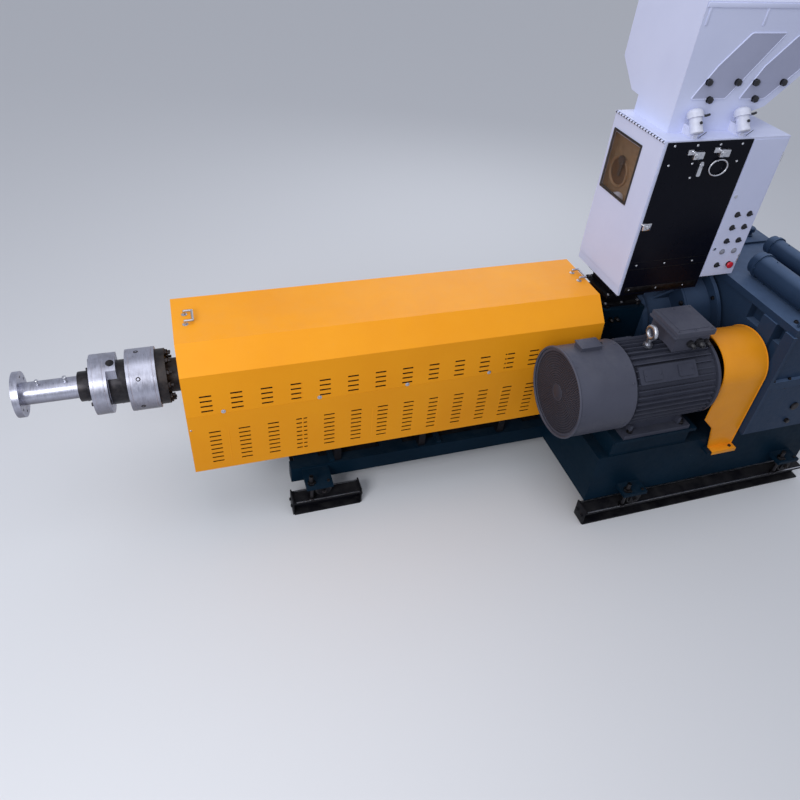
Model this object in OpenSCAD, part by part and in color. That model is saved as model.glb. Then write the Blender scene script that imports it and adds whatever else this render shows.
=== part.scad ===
// Single screw plastics extruder with a vented hood, a side motor drive and a gravimetric feeder.
// X runs along the screw from the die end to the drive, Y away from the motor side, Z up.

/* [Layout] */
// Height of the screw axis above the floor
axis_h = 850; // [780:5:950]
// Sideways distance from the screw axis to the motor axis
drive_offset = 556; // [552:1:600]
// Distance from the hood's rear end to the centre of the feed throat
feed_gap = 230; // [210:5:300]
// Distance from the centre of the feed throat to the gearbox front face
gearbox_gap = 560; // [560:5:640]

/* [Hood] */
// Length of the hood
hood_l = 2200; // [1800:10:2220]
// Width of the flat roof
hood_roof_w = 380; // [300:5:460]
// Width across the shoulders, below the chamfers
hood_shoulder_w = 598; // [560:2:640]
// Width across the bend in the side panels
hood_bend_w = 626; // [600:2:660]
// Width across the bottom edge
hood_foot_w = 618; // [600:2:650]
// Height of the roof above the screw axis
hood_rise = 320; // [280:5:360]
// Height of the chamfers
hood_chamfer_h = 114; // [80:2:140]
// Height of the upper side panels
hood_upper_h = 231; // [200:1:260]
// Height of the lower side panels
hood_lower_h = 373; // [330:1:400]
// Sheet thickness of the hood
hood_t = 3; // [2:0.5:5]
// Gap at each seam of the hood
seam_gap = 0.4; // [0.2:0.1:0.8]
// Number of slot groups along each side
slot_groups = 15; // [8:1:15]
// Distance from the hood's ends to the middle of the outer slot groups
slot_margin = 106; // [90:1:140]
// Length of one slot
slot_l = 55; // [30:1:70]
// Height of one slot
slot_h = 10; // [6:1:14]
// Distance between slots in a group
slot_step = 29; // [20:1:30]
// Slots in an upper group
upper_slots = 4; // [2:1:5]
// Slots in a lower group
lower_slots = 8; // [4:1:9]
// Width of a hood handle
handle_l = 95; // [80:5:160]
// Reach of a hood handle along the roof
handle_reach = 36; // [30:1:80]
// Height of a hood handle
handle_h = 26; // [20:1:50]
// Rod radius of a hood handle
handle_r = 6; // [4:0.5:8]

/* [Barrel] */
// Radius of the barrel
barrel_r = 85; // [70:1:95]
// Radius of the heater bands
heater_r = 112; // [100:1:130]
// Length of one heater band
heater_l = 230; // [150:5:250]
// Number of heater bands
heater_count = 6; // [4:1:6]
// Radius of the barrel's front flange
barrel_flange_r = 138; // [125:1:150]
// Thickness of the barrel's front flange
barrel_flange_l = 45; // [35:1:60]
// Gap between the barrel's front flange and the hood
barrel_flange_gap = 63; // [50:1:90]
// Radius of the melt channel
melt_r = 30; // [20:1:40]

/* [Die end] */
// Radius of the clamp ring beside the hood
clamp_ring_r = 153; // [145:1:180]
// Length of the clamp ring beside the hood
clamp_ring_l = 135; // [110:1:160]
// Radius of the outer clamp ring
outer_ring_r = 148; // [135:1:165]
// Length of the outer clamp ring
outer_ring_l = 75; // [60:1:95]
// Length of the neck between the two rings
ring_neck_l = 87; // [70:1:120]
// Radius of the adapter pipe
adapter_r = 54; // [46:1:64]
// Length of the adapter pipe
adapter_l = 340; // [250:5:500]
// Radius of the adapter's end flange
end_flange_r = 110; // [100:1:140]
// Thickness of the adapter's end flange
end_flange_t = 30; // [20:1:45]
// Bolt circle diameter of the adapter's end flange
end_flange_pcd = 170; // [160:1:190]
// Bolt holes in the adapter's end flange
end_flange_holes = 8; // [6:2:12]
// Radius of a bolt hole in the end flange
end_flange_hole_r = 7; // [5:0.5:9]

/* [Frame] */
// Overlap of the drive base under the hood's rear end
base_under = 115; // [60:5:140]
// Length of the drive base
base_l = 1540; // [1530:5:1650]
// Near face of the drive base, from the screw axis
base_near = 733; // [720:1:745]
// Far face of the drive base, from the screw axis
base_far = 300; // [290:5:380]
// Height of the drive base box
base_box_h = 342; // [300:2:350]
// Clearance under the drive base
base_clear = 128; // [110:2:140]
// Width of one beam rail
beam_w = 66; // [50:1:90]
// Height of one beam rail
beam_rail_h = 102; // [80:1:120]
// Clearance under the beam
beam_clear = 128; // [110:1:160]
// Near face of the beam, from the screw axis
beam_half = 200; // [180:1:240]
// Front end of the beam, from the hood's front end
beam_x = 495; // [300:5:700]
// Height of a floor rail
rail_h = 96; // [80:1:110]
// Flange width of a floor rail
rail_w = 96; // [80:1:120]
// Web and flange thickness of a floor rail
rail_t = 10; // [6:1:14]
// Radius of a wheel
wheel_r = 46; // [35:1:60]
// Width of a wheel
wheel_w = 34; // [25:1:45]

/* [Drive] */
// Height of the motor feet below the motor axis
motor_shaft_h = 250; // [240:1:270]
// Radius of the fan cowl
cowl_r = 238; // [220:1:240]
// Length of the fan cowl
cowl_l = 318; // [260:1:360]
// Overlap of the fan cowl beside the hood's rear end
cowl_over = 378; // [340:1:400]
// Radius over the cooling fins
fin_r = 226; // [210:1:234]
// Length of the finned body
motor_body_l = 505; // [440:1:505]
// Cooling fins around the motor
fin_count = 40; // [24:2:48]
// Radius of the coupling guard's arch
guard_r = 188; // [175:1:205]
// Height of the arch's centre above the motor axis
guard_rise = 32; // [20:1:60]
// Sheet thickness of the coupling guard
guard_t = 3; // [2:0.5:4]
// Length of the gearbox housing
gearbox_l = 600; // [520:5:640]
// Near face of the gearbox, from the screw axis
gearbox_near = 780; // [765:5:800]
// Far face of the gearbox, from the screw axis
gearbox_far = 270; // [240:5:290]
// Height of the gearbox top above the screw axis
gearbox_rise = 365; // [330:5:370]
// Radius of the lantern's large flange
lantern_r = 290; // [250:5:295]

/* [Feeder] */
// Distance from the feeder body's left face to the centre of the feed throat
feeder_back = 136; // [110:1:150]
// Length of the feeder body
feeder_l = 501; // [450:1:515]
// Depth of the feeder body
feeder_w = 434; // [380:2:460]
// Underside of the feeder body above the floor
feeder_z = 1165; // [1160:1:1180]
// Height of the feeder body
feeder_h = 840; // [700:5:900]
// Sheet thickness of the feeder body
feeder_t = 4; // [3:0.5:6]
// Length of the control box beside the feeder body
control_l = 222; // [200:2:280]
// Height of the control box's underside above the floor
control_z = 1228; // [1226:1:1260]
// Height of the bins on top of the feeder
bin_h = 560; // [400:10:700]
// Gap around the feeder door
door_gap = 1.5; // [1:0.5:3]

/* [Hidden] */
$fn = 64;

// Colours
orange = [0.95, 0.62, 0.08];
teal = [0.10, 0.22, 0.30];
black = [0.07, 0.07, 0.08];
steel = [0.66, 0.67, 0.70];
motor_grey = [0.40, 0.40, 0.46];
white = [0.86, 0.87, 0.92];
amber = [0.45, 0.28, 0.16];

// Clearances
skin = 0.3;            // gap between two parts that seat on each other
panel_gap = 2;         // gap round a screwed panel

// Places along the machine
feed_x = hood_l + feed_gap;
gearbox_x = feed_x + gearbox_gap;
base_x = hood_l - base_under;
cowl_x = hood_l - cowl_over;
feeder_x = feed_x - feeder_back;

// Heights on the machine
base_top = base_clear + base_box_h;
beam_top = beam_clear + beam_rail_h;
beam_bottom = beam_clear;
roof_z = axis_h + hood_rise;
shoulder_z = roof_z - hood_chamfer_h;
bend_z = shoulder_z - hood_upper_h;
hood_foot_z = bend_z - hood_lower_h;
gearbox_top = axis_h + gearbox_rise;

// The die end, counted outwards from the hood
barrel_flange_x = -(barrel_flange_gap + barrel_flange_l);
ring_x = barrel_flange_x - clamp_ring_l;
outer_ring_x = ring_x - ring_neck_l - outer_ring_l;
adapter_x = outer_ring_x - adapter_l;

// The drive train, counted along the motor axis
motor_axis_y = -drive_offset;
body_x = cowl_x + cowl_l;
shield_x = body_x + motor_body_l;
shield_l = 40;
shield_disc_l = 24;
guard_lead = 28;        // guard behind the motor's end disc
guard_tail = 8;         // guard in front of the gearbox
guard_x = shield_x + shield_disc_l + guard_lead;
guard_end = gearbox_x - guard_tail;
guard_l = guard_end - guard_x;
pedestal_top = axis_h - motor_shaft_h;

// The whole machine's box, for the origin
rail_out = 24;          // centre of a rear rail outside the base's side face
wheel_out = 44;         // centre of a rear wheel outside the base's side face
lug_reach = 90;
near_y = -max(base_near + lug_reach, gearbox_near, drive_offset + cowl_r);
far_y = base_far + lug_reach;
machine_end = base_x + base_l;

// Everything is drawn from the hood's front end on the screw axis, and then moved so that
// the origin is the middle of the machine's footprint, on the floor.
module framed() {
    translate([-(adapter_x + machine_end) / 2, -(near_y + far_y) / 2, 0]) children();
}

// A box given by its low and high corners
module block(low, high) {
    translate(low) cube(high - low);
}

// A cylinder along X
module rod_x(x, y, z, r, l) {
    translate([x, y, z]) rotate([0, 90, 0]) cylinder(r = r, h = l);
}

// A tube along X
module tube_x(x, y, z, r, bore_r, l) {
    translate([x, y, z]) rotate([0, 90, 0]) difference() {
        cylinder(r = r, h = l);
        translate([0, 0, -1]) cylinder(r = bore_r, h = l + 2);
    }
}

// Bolts or holes round a circle in the YZ plane
module round_x(x, y, z, pcd, count, r, l) {
    for (i = [0 : count - 1])
        translate([x, y, z]) rotate([(i + 0.5) * 360 / count, 0, 0])
            translate([0, pcd / 2, 0]) rotate([0, 90, 0]) cylinder(r = r, h = l, $fn = 24);
}

// Frame

shelf_t = 12;
shelf_z = 400;
shelf_l = 205;
shelf_reach = 52;
shelf_out = 10;       // shelf beyond the guard's rear edge
notch_gap = 6;        // clearance round the hood's foot where it dips into the base
lug_l = 150;
wheel_in = 48;        // wheel in from the lug's other end
lug_t = 20;
lug_z = rail_h + 2 * wheel_r + 8;
stud_r = 12;
stud_in = 32;         // stud in from the lug's corner
lug_xs = [base_x + 190, machine_end - 260];
front_lug_x = beam_x + 60;
front_rail_gap = 40;

function base_side(side) = side < 0 ? -base_near : base_far;

// A lug plate that stands out from a side face, with a hole for its levelling stud
module lug(x, y, side, reach) {
    far = y + side * reach;
    difference() {
        block([x, min(y, far), lug_z], [x + lug_l, max(y, far), lug_z + lug_t]);
        translate([x + stud_in, far - side * stud_in, lug_z - 1])
            cylinder(r = stud_r + skin, h = lug_t + 2, $fn = 32);
    }
}

module base_frame() {
    notch_y = hood_foot_w / 2 + notch_gap;
    color(teal) framed() {
        difference() {
            block([base_x, -base_near, base_clear], [machine_end, base_far, base_top]);
            block([base_x - 1, -notch_y, min(base_top, hood_foot_z - notch_gap)],
                  [hood_l + notch_gap, notch_y, base_top + 1]);
        }
        // shelf that carries the guard's near foot
        block([guard_end + shelf_out - shelf_l, -base_near - shelf_reach, shelf_z - shelf_t],
              [guard_end + shelf_out, -base_near, shelf_z]);
        for (x = lug_xs) for (side = [-1, 1]) lug(x, base_side(side), side, lug_reach);
    }
}

pedestal_plate_t = 20;
foot_out = 28;        // foot beyond its bolts
foot_near = 160;      // half the distance across the motor's foot bolts

module motor_pedestal() {
    low_z = pedestal_top - pedestal_plate_t;
    color(teal) framed() {
        block([body_x + 10, -base_near + 8, base_top],
              [shield_x, motor_axis_y + foot_near + 20, low_z]);
        block([body_x, motor_axis_y - foot_near - foot_out - 8, low_z],
              [shield_x + 10, motor_axis_y + foot_near + foot_out + 8, pedestal_top]);
    }
}

front_lug_reach = front_rail_gap + rail_w + 12;

module beam_rails() {
    color(teal) framed() for (side = [-1, 1]) {
        y1 = side * beam_half;
        y2 = side * (beam_half - beam_w);
        block([beam_x, min(y1, y2), beam_bottom], [base_x, max(y1, y2), beam_top]);
        lug(front_lug_x, y1, side, front_lug_reach);
    }
}

stand_xs = [beam_x + 100, hood_l * 0.5, base_x - 200];
cross_w = 140;

module beam_crossmembers() {
    inner = beam_half - beam_w;
    color(teal) framed() for (x = stand_xs)
        block([x - cross_w / 2, -inner, beam_bottom], [x + cross_w / 2, inner, beam_top]);
}

rear_rail_x = base_x - 15;
front_rail_x = beam_x - 10;
front_rail_l = 380;

function rear_rail_y(side) = base_side(side) + side * rail_out;
function rear_wheel_y(side) = base_side(side) + side * wheel_out;
function front_rail_y(side) = side * (beam_half + front_rail_gap + rail_w / 2);

// An H section laid along X, standing on the floor
module h_rail(x, l, y) {
    translate([x, y, 0]) rotate([90, 0, 90]) linear_extrude(l) union() {
        translate([-rail_w / 2, 0]) square([rail_w, rail_t]);
        translate([-rail_w / 2, rail_h - rail_t]) square([rail_w, rail_t]);
        translate([-rail_t / 2, 0]) square([rail_t, rail_h]);
    }
}

module floor_rails() {
    color(black) framed() for (side = [-1, 1]) {
        h_rail(rear_rail_x, machine_end - rear_rail_x, rear_rail_y(side));
        h_rail(front_rail_x, front_rail_l, front_rail_y(side));
    }
}

// The wheel units stand on the rails, under the lugs
wheel_stations = [for (x = lug_xs) for (side = [-1, 1]) [x + lug_l - wheel_in, rear_wheel_y(side)],
                  for (side = [-1, 1]) [front_lug_x + lug_l - wheel_in, front_rail_y(side)]];
cheek_t = 8;
axle_r = 9;

module wheels() {
    color(black) framed() for (p = wheel_stations)
        translate([p[0], p[1], rail_h + wheel_r]) rotate([90, 0, 0]) {
            cylinder(r = wheel_r, h = wheel_w, center = true);
            cylinder(r = axle_r, h = wheel_w + 2 * cheek_t + 8, center = true, $fn = 32);
        }
}

module wheel_brackets() {
    cheek_l = 64;
    cheek_drop = lug_z - rail_h - wheel_r + axle_r + 12;
    color(black) framed() for (p = wheel_stations) for (side = [-1, 1])
        translate([p[0], p[1] + side * (wheel_w / 2 + 1), lug_z - cheek_drop])
            difference() {
                block([-cheek_l / 2, min(0, side * cheek_t), 0],
                      [cheek_l / 2, max(0, side * cheek_t), cheek_drop]);
                translate([0, 0, rail_h + wheel_r - lug_z + cheek_drop]) rotate([90, 0, 0])
                    cylinder(r = axle_r + skin, h = 4 * cheek_t, center = true, $fn = 32);
            }
}

stud_stations = [for (x = lug_xs) for (side = [-1, 1])
                     [x, base_side(side) + side * (lug_reach - stud_in)],
                 for (side = [-1, 1]) [front_lug_x, side * (beam_half + front_lug_reach - stud_in)]];
nut_h = 18;

module levelling_studs() {
    color(steel) framed() for (p = stud_stations)
        translate([p[0] + stud_in, p[1], rail_h]) {
            cylinder(r = stud_r * 1.6, h = 12, $fn = 32);
            cylinder(r = stud_r, h = lug_z + lug_t + 60 - rail_h, $fn = 32);
            for (z = [lug_z - nut_h - rail_h, lug_z + lug_t - rail_h]) translate([0, 0, z])
                cylinder(r = stud_r * 1.75, h = nut_h, $fn = 6);
        }
}

// Barrel

heater_step = (hood_l - 260) / heater_count;
rear_flange_t = 30;
channel_l = 400;      // melt channel's run inside the barrel
throat_w = 300;
throat_l = 260;
throat_up = 170;
throat_down = 150;
throat_top = axis_h + throat_up;
inlet_w = 110;

module barrel() {
    end = feed_x - throat_l / 2;
    color(steel) framed() difference() {
        union() {
            rod_x(barrel_flange_x, 0, axis_h, barrel_r, end - barrel_flange_x);
            rod_x(barrel_flange_x, 0, axis_h, barrel_flange_r, barrel_flange_l);
            rod_x(end - rear_flange_t, 0, axis_h, barrel_flange_r, rear_flange_t);
        }
        rod_x(barrel_flange_x - 1, 0, axis_h, melt_r, channel_l + 1);
    }
}

function heater_x(i) = 130 + i * heater_step;

module heater_bands() {
    color(steel) framed() for (i = [0 : heater_count - 1])
        tube_x(heater_x(i), 0, axis_h, heater_r, barrel_r + skin, heater_l);
}

stand_t = 30;
stand_w = 120;
stand_foot_h = 20;
saddle_r = barrel_r + 28;
stand_barrel_xs = [heater_x(2) - (heater_step - heater_l) / 2 - stand_t / 2,
                   heater_x(4) - (heater_step - heater_l) / 2 - stand_t / 2];

module barrel_stands() {
    color(teal) framed() for (x = stand_barrel_xs) difference() {
        union() {
            block([x, -beam_half + 6, beam_top], [x + stand_t, beam_half - 6, beam_top + stand_foot_h]);
            block([x, -stand_w / 2, beam_top], [x + stand_t, stand_w / 2, axis_h]);
            rod_x(x, 0, axis_h, saddle_r, stand_t);
        }
        rod_x(x - 1, 0, axis_h, barrel_r + skin, stand_t + 2);
    }
}

throat_leg_w = 120;
throat_leg_in = 30;

module feed_throat() {
    x = feed_x - throat_l / 2;
    color(teal) framed() difference() {
        union() {
            block([x, -throat_w / 2, axis_h - throat_down], [x + throat_l, throat_w / 2, throat_top]);
            block([x + throat_leg_in, -throat_leg_w / 2, base_top],
                  [x + throat_l - throat_leg_in, throat_leg_w / 2, axis_h - throat_down]);
        }
        block([feed_x - inlet_w / 2, -inlet_w / 2, axis_h],
              [feed_x + inlet_w / 2, inlet_w / 2, throat_top + 1]);
    }
}

// Hood

carrier_w = 40;
carrier_y = min(hood_foot_w, hood_bend_w) / 2 - hood_t - skin;
carrier_in = 30;      // carrier's ends inside the hood's front end and before the base
carrier_xs = [beam_x + 250, hood_l * 0.5 + 150, base_x - 330];

module hood_carrier() {
    low = hood_foot_z;
    color(black) framed() {
        for (side = [-1, 1]) {
            y1 = side * carrier_y;
            y2 = side * (carrier_y - carrier_w);
            block([carrier_in, min(y1, y2), low], [base_x - carrier_in, max(y1, y2), low + carrier_w]);
        }
        for (x = carrier_xs) {
            inner = carrier_y - carrier_w - skin;
            block([x, -inner, low], [x + carrier_w, inner, low + carrier_w]);
            for (side = [-1, 1])
                translate([x, side * (beam_half - beam_w / 2) - carrier_w / 2, beam_top])
                    cube([carrier_w, carrier_w, low - beam_top - skin]);
        }
    }
}

module hood_roof() {
    r = hood_roof_w / 2;
    s = hood_shoulder_w / 2;
    outline = [[-s, shoulder_z], [-r, roof_z], [r, roof_z], [s, shoulder_z],
               [s - hood_t * 1.35, shoulder_z], [r - hood_t * 0.5, roof_z - hood_t],
               [-r + hood_t * 0.5, roof_z - hood_t], [-s + hood_t * 1.35, shoulder_z]];
    color(orange) framed() rotate([90, 0, 90]) linear_extrude(hood_l) polygon(outline);
}

// One row of slot groups, as holes in a flat panel drawn from its lower edge
module slots(count, middle, shift) {
    pitch = (hood_l - 2 * slot_margin) / (slot_groups - 1);
    for (g = [0 : slot_groups - 1]) for (i = [0 : count - 1])
        translate([slot_margin + shift + g * pitch - slot_l / 2,
                   middle + (i - (count - 1) / 2) * slot_step - slot_h / 2])
            square([slot_l, slot_h]);
}

// A side panel between two heights, leaning from its low half width to its high one
module side_panel(low_z, high_z, low_y, high_y, count, middle, shift) {
    rise = high_z - low_z;
    lean = atan((low_y - high_y) / rise);
    translate([0, -low_y, low_z]) rotate([90 - lean, 0, 0]) translate([0, 0, -hood_t])
        linear_extrude(hood_t) difference() {
            square([hood_l, rise / cos(lean)]);
            slots(count, middle, shift);
        }
}

upper_slot_shift = -6;
lower_slot_shift = 14;
upper_slot_share = 0.294;   // middle of the slots as a share of the panel's height
lower_slot_share = 0.418;

module hood_upper(side) {
    mirror([0, side > 0 ? 1 : 0, 0])
        side_panel(bend_z + seam_gap, shoulder_z - seam_gap, hood_bend_w / 2, hood_shoulder_w / 2,
                   upper_slots, hood_upper_h * upper_slot_share, upper_slot_shift);
}

module hood_lower(side) {
    mirror([0, side > 0 ? 1 : 0, 0])
        side_panel(hood_foot_z, bend_z - seam_gap, hood_foot_w / 2, hood_bend_w / 2,
                   lower_slots, hood_lower_h * lower_slot_share, lower_slot_shift);
}

module hood_upper_near() { color(orange) framed() hood_upper(-1); }
module hood_upper_far() { color(orange) framed() hood_upper(1); }
module hood_lower_near() { color(orange) framed() hood_lower(-1); }
module hood_lower_far() { color(orange) framed() hood_lower(1); }

// An end plate inside the panels, with a hole round the barrel
module hood_end(x, hole_r) {
    inset = hood_t + seam_gap + 1;
    r = hood_roof_w / 2 - inset;
    s = hood_shoulder_w / 2 - inset;
    b = hood_bend_w / 2 - inset;
    f = hood_foot_w / 2 - inset;
    top = roof_z - hood_t - seam_gap;
    low = hood_foot_z + carrier_w + 1;
    color(orange) framed() translate([x, 0, 0]) rotate([90, 0, 90]) linear_extrude(hood_t) difference() {
        polygon([[-f, low], [-b, bend_z], [-s, shoulder_z], [-r, top],
                 [r, top], [s, shoulder_z], [b, bend_z], [f, low]]);
        translate([0, axis_h]) circle(r = hole_r);
    }
}

module hood_end_front() { hood_end(0, barrel_r + 10); }
module hood_end_rear() { hood_end(hood_l - hood_t, barrel_r + 10); }

handle_in = 59;       // front handle's feet in from the hood's front end
handle_rear_in = 46;  // rear handle's feet in from the hood's rear end

// A low bow handle whose grip lies across the roof, rearwards of its feet
module handle() {
    grip_y = handle_l / 2 - handle_r;
    grip_z = handle_h - handle_r;
    for (side = [-1, 1]) translate([0, side * grip_y, 0]) {
        cylinder(r = handle_r, h = grip_z, $fn = 24);
        translate([0, 0, grip_z]) rotate([0, 90, 0])
            cylinder(r = handle_r, h = handle_reach, $fn = 24);
        for (x = [0, handle_reach]) translate([x, 0, grip_z]) sphere(r = handle_r, $fn = 24);
    }
    translate([handle_reach, -grip_y, grip_z]) rotate([-90, 0, 0])
        cylinder(r = handle_r, h = 2 * grip_y, $fn = 24);
}

module hood_handles() {
    color(steel) framed() {
        translate([handle_in, 0, roof_z]) handle();
        translate([hood_l - handle_rear_in, 0, roof_z]) handle();
    }
}

// Die end

module clamp_ring() {
    color(steel) framed() tube_x(ring_x, 0, axis_h, clamp_ring_r, melt_r, clamp_ring_l);
}

neck_share = 0.7;      // neck between the rings, as a share of the outer ring
boss_l = 45;
boss_half = 74;
boss_depth = 45;        // boss below the neck's top

module outer_clamp_ring() {
    face_x = outer_ring_x + outer_ring_l;
    color(steel) framed() difference() {
        union() {
            rod_x(outer_ring_x, 0, axis_h, outer_ring_r, outer_ring_l);
            rod_x(face_x, 0, axis_h, outer_ring_r * neck_share, ring_neck_l);
            // boss on top for the clamping screw
            intersection() {
                rod_x(face_x - 1, 0, axis_h, outer_ring_r, boss_l + 1);
                block([face_x - 1, -boss_half, axis_h + outer_ring_r * neck_share - boss_depth],
                      [face_x + boss_l, boss_half, axis_h + outer_ring_r + 1]);
            }
        }
        rod_x(outer_ring_x - 1, 0, axis_h, melt_r, ring_neck_l + outer_ring_l + 2);
    }
}

collar_l = 66;
collar_out = 13;

module adapter_pipe() {
    color(steel) framed() difference() {
        union() {
            rod_x(adapter_x, 0, axis_h, adapter_r, adapter_l);
            rod_x(adapter_x, 0, axis_h, end_flange_r, end_flange_t);
            rod_x(adapter_x + adapter_l - collar_l, 0, axis_h, adapter_r + collar_out, collar_l);
        }
        rod_x(adapter_x - 1, 0, axis_h, melt_r, adapter_l + 2);
        round_x(adapter_x - 1, 0, axis_h, end_flange_pcd, end_flange_holes, end_flange_hole_r,
                end_flange_t + 2);
    }
}

// Gearbox

split_t = 26;
split_out = 22;
ledge_h = 40;
lift_pocket_h = 100;
lift_pocket_depth = 50;
rib_spans = [[0, 65], [130, 101]];       // from the near side: start and width
pocket_spans = [[65, 65], [231, 111]];   // the bays between the ribs

module gearbox_box(low_z, high_z, flange_low, flange_high) {
    block([gearbox_x + split_out, -gearbox_near + split_out, low_z],
          [gearbox_x + gearbox_l - split_out, gearbox_far - split_out, high_z]);
    block([gearbox_x, -gearbox_near, flange_low], [gearbox_x + gearbox_l, gearbox_far, flange_high]);
}

// Ribs on the front wall between two heights
module front_ribs(low_z, high_z) {
    for (span = rib_spans)
        block([gearbox_x, span[0] - gearbox_near, low_z],
              [gearbox_x + split_out + 1, span[0] + span[1] - gearbox_near, high_z]);
}

module gearbox_lower() {
    color(teal) framed() {
        gearbox_box(base_top, axis_h, axis_h - split_t, axis_h);
        block([gearbox_x, -base_near + 8, base_top], [gearbox_x + gearbox_l, gearbox_far, base_top + 30]);
        front_ribs(base_top + 30, axis_h - split_t);
    }
}

module gearbox_upper() {
    color(teal) framed() {
        difference() {
            gearbox_box(axis_h, gearbox_top, axis_h, axis_h + split_t);
            // dark bays under the ledge
            for (span = pocket_spans)
                block([gearbox_x + split_out - 1, span[0] - gearbox_near,
                       gearbox_top - ledge_h - lift_pocket_h],
                      [gearbox_x + split_out + lift_pocket_depth, span[0] + span[1] - gearbox_near,
                       gearbox_top - ledge_h]);
        }
        block([gearbox_x + split_out / 2, -gearbox_near + split_out / 2, gearbox_top - ledge_h],
              [gearbox_x + gearbox_l - split_out / 2, gearbox_far - split_out / 2, gearbox_top]);
        front_ribs(axis_h + split_t, gearbox_top - ledge_h);
    }
}

lantern_l = 210;
lantern_flange_t = 34;
neck_r = 170;
lantern_rim_out = 57;    // rim beyond the lantern
lantern_rim_t = 25;
lantern_rim_gap = 15;    // rim in front of the gearbox

module thrust_lantern() {
    start = feed_x + throat_l / 2;
    color(teal) framed() {
        rod_x(start, 0, axis_h, neck_r, gearbox_x - start);
        rod_x(start, 0, axis_h, neck_r + 26, lantern_flange_t);
        rod_x(gearbox_x - lantern_l, 0, axis_h, lantern_r, lantern_l);
        rod_x(gearbox_x - lantern_rim_gap - lantern_rim_t, 0, axis_h, lantern_r + lantern_rim_out,
              lantern_rim_t);
    }
}

shaft_r = 30;
hub_r = 110;

module input_coupling() {
    start = shield_x + shield_l;
    middle = (start + gearbox_x) / 2;
    color(steel) framed() {
        rod_x(start, motor_axis_y, axis_h, shaft_r, gearbox_x - start);
        for (side = [-1, 1])
            rod_x(middle - 55 + side * 55, motor_axis_y, axis_h, hub_r, 100);
    }
}

guard_foot_l = 165;
guard_cut_z = pedestal_top + 40;   // where the near leg's front edge starts to run back
guard_cut = 78;

// An arch on two legs; the near leg narrows below the motor and reaches down to the shelf
module coupling_guard() {
    y = motor_axis_y;
    arch_z = axis_h + guard_rise;
    color(orange) framed() difference() {
        union() {
            difference() {
                union() {
                    rod_x(guard_x, y, arch_z, guard_r, guard_l);
                    block([guard_x, y - guard_r, base_top], [guard_end, y + guard_r, arch_z]);
                }
                rod_x(guard_x - 1, y, arch_z, guard_r - guard_t, guard_l + 2);
                block([guard_x - 1, y - guard_r + guard_t, base_top - 1],
                      [guard_end + 1, y + guard_r - guard_t, arch_z]);
            }
            block([guard_x, y - guard_r, shelf_z], [guard_end, y - guard_r + guard_t, base_top + 1]);
        }
        translate([0, y - guard_r + guard_t + 1, 0]) rotate([90, 0, 0]) linear_extrude(guard_t + 2)
            polygon([[guard_x - 1, guard_cut_z], [guard_x + guard_cut, guard_cut_z - guard_cut],
                     [guard_end - guard_foot_l, shelf_z - 1], [guard_x - 1, shelf_z - 1]]);
    }
}

// Motor

body_r = fin_r - 22;
fin_t = 5;
foot_h = 26;

module motor_body() {
    color(motor_grey) framed() {
        rod_x(body_x, motor_axis_y, axis_h, body_r, motor_body_l);
        for (i = [0 : fin_count - 1]) translate([body_x + 20, motor_axis_y, axis_h])
            rotate([i * 360 / fin_count, 0, 0])
                translate([0, body_r - 10, -fin_t / 2])
                    cube([motor_body_l - 40, fin_r - body_r + 10, fin_t]);
        for (side = [-1, 1]) {
            y1 = motor_axis_y + side * (foot_near + foot_out);
            y2 = motor_axis_y + side * (foot_near - 75);
            block([body_x + 50, min(y1, y2), pedestal_top],
                  [shield_x - 40, max(y1, y2), pedestal_top + foot_h]);
            y3 = motor_axis_y + side * (foot_near - 20);
            block([body_x + 90, min(y2, y3), pedestal_top + foot_h - 1],
                  [shield_x - 80, max(y2, y3), pedestal_top + 130]);
        }
    }
}

module motor_end_shield() {
    color(motor_grey) framed() difference() {
        union() {
            rod_x(shield_x, motor_axis_y, axis_h, body_r + 8, shield_disc_l);
            rod_x(shield_x, motor_axis_y, axis_h, 120, shield_l);
        }
        rod_x(shield_x + 10, motor_axis_y, axis_h, shaft_r + 2, shield_l);
    }
}

cowl_t = 4;
grille_t = 5;

cable_box_x = cowl_x + 90;
cable_box_l = 113;
cable_box_y = motor_axis_y + 10;
cable_box_w = 68;

module fan_cowl() {
    color(motor_grey) framed() {
        tube_x(cowl_x, motor_axis_y, axis_h, cowl_r, cowl_r - cowl_t, cowl_l);
        rod_x(body_x - 12, motor_axis_y, axis_h, cowl_r - cowl_t / 2, 12);
        // cable box on the cowl
        difference() {
            block([cable_box_x, cable_box_y, axis_h + cowl_r - 30],
                  [cable_box_x + cable_box_l, cable_box_y + cable_box_w, axis_h + cowl_r + 24]);
            rod_x(cowl_x, motor_axis_y, axis_h, cowl_r - cowl_t / 2, cowl_l);
        }
    }
}

module fan_grille() {
    color(black) framed() {
        rod_x(cowl_x + 8, motor_axis_y, axis_h, cowl_r - cowl_t - skin, grille_t);
        rod_x(cowl_x - 2, motor_axis_y, axis_h, 38, 10 + grille_t);
    }
}

tbox_l = 208;
tbox_w = 204;
tbox_x = shield_x - tbox_l - 37;
tbox_y = motor_axis_y - 66;
tbox_z = axis_h + body_r - 30;
tbox_h = 142;

module terminal_box() {
    color(motor_grey) framed() difference() {
        block([tbox_x, tbox_y, tbox_z], [tbox_x + tbox_l, tbox_y + tbox_w, tbox_z + tbox_h]);
        rod_x(tbox_x - 1, motor_axis_y, axis_h, fin_r + skin, tbox_l + 2);
    }
}

lid_t = 22;

module terminal_lid() {
    color(motor_grey) framed()
        block([tbox_x - 12, tbox_y - 12, tbox_z + tbox_h],
              [tbox_x + tbox_l + 12, tbox_y + tbox_w + 12, tbox_z + tbox_h + lid_t]);
}

eye_r = 31;
eye_wire = 12;
eye_neck_h = 52;
eye_x = body_x + 155;

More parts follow.
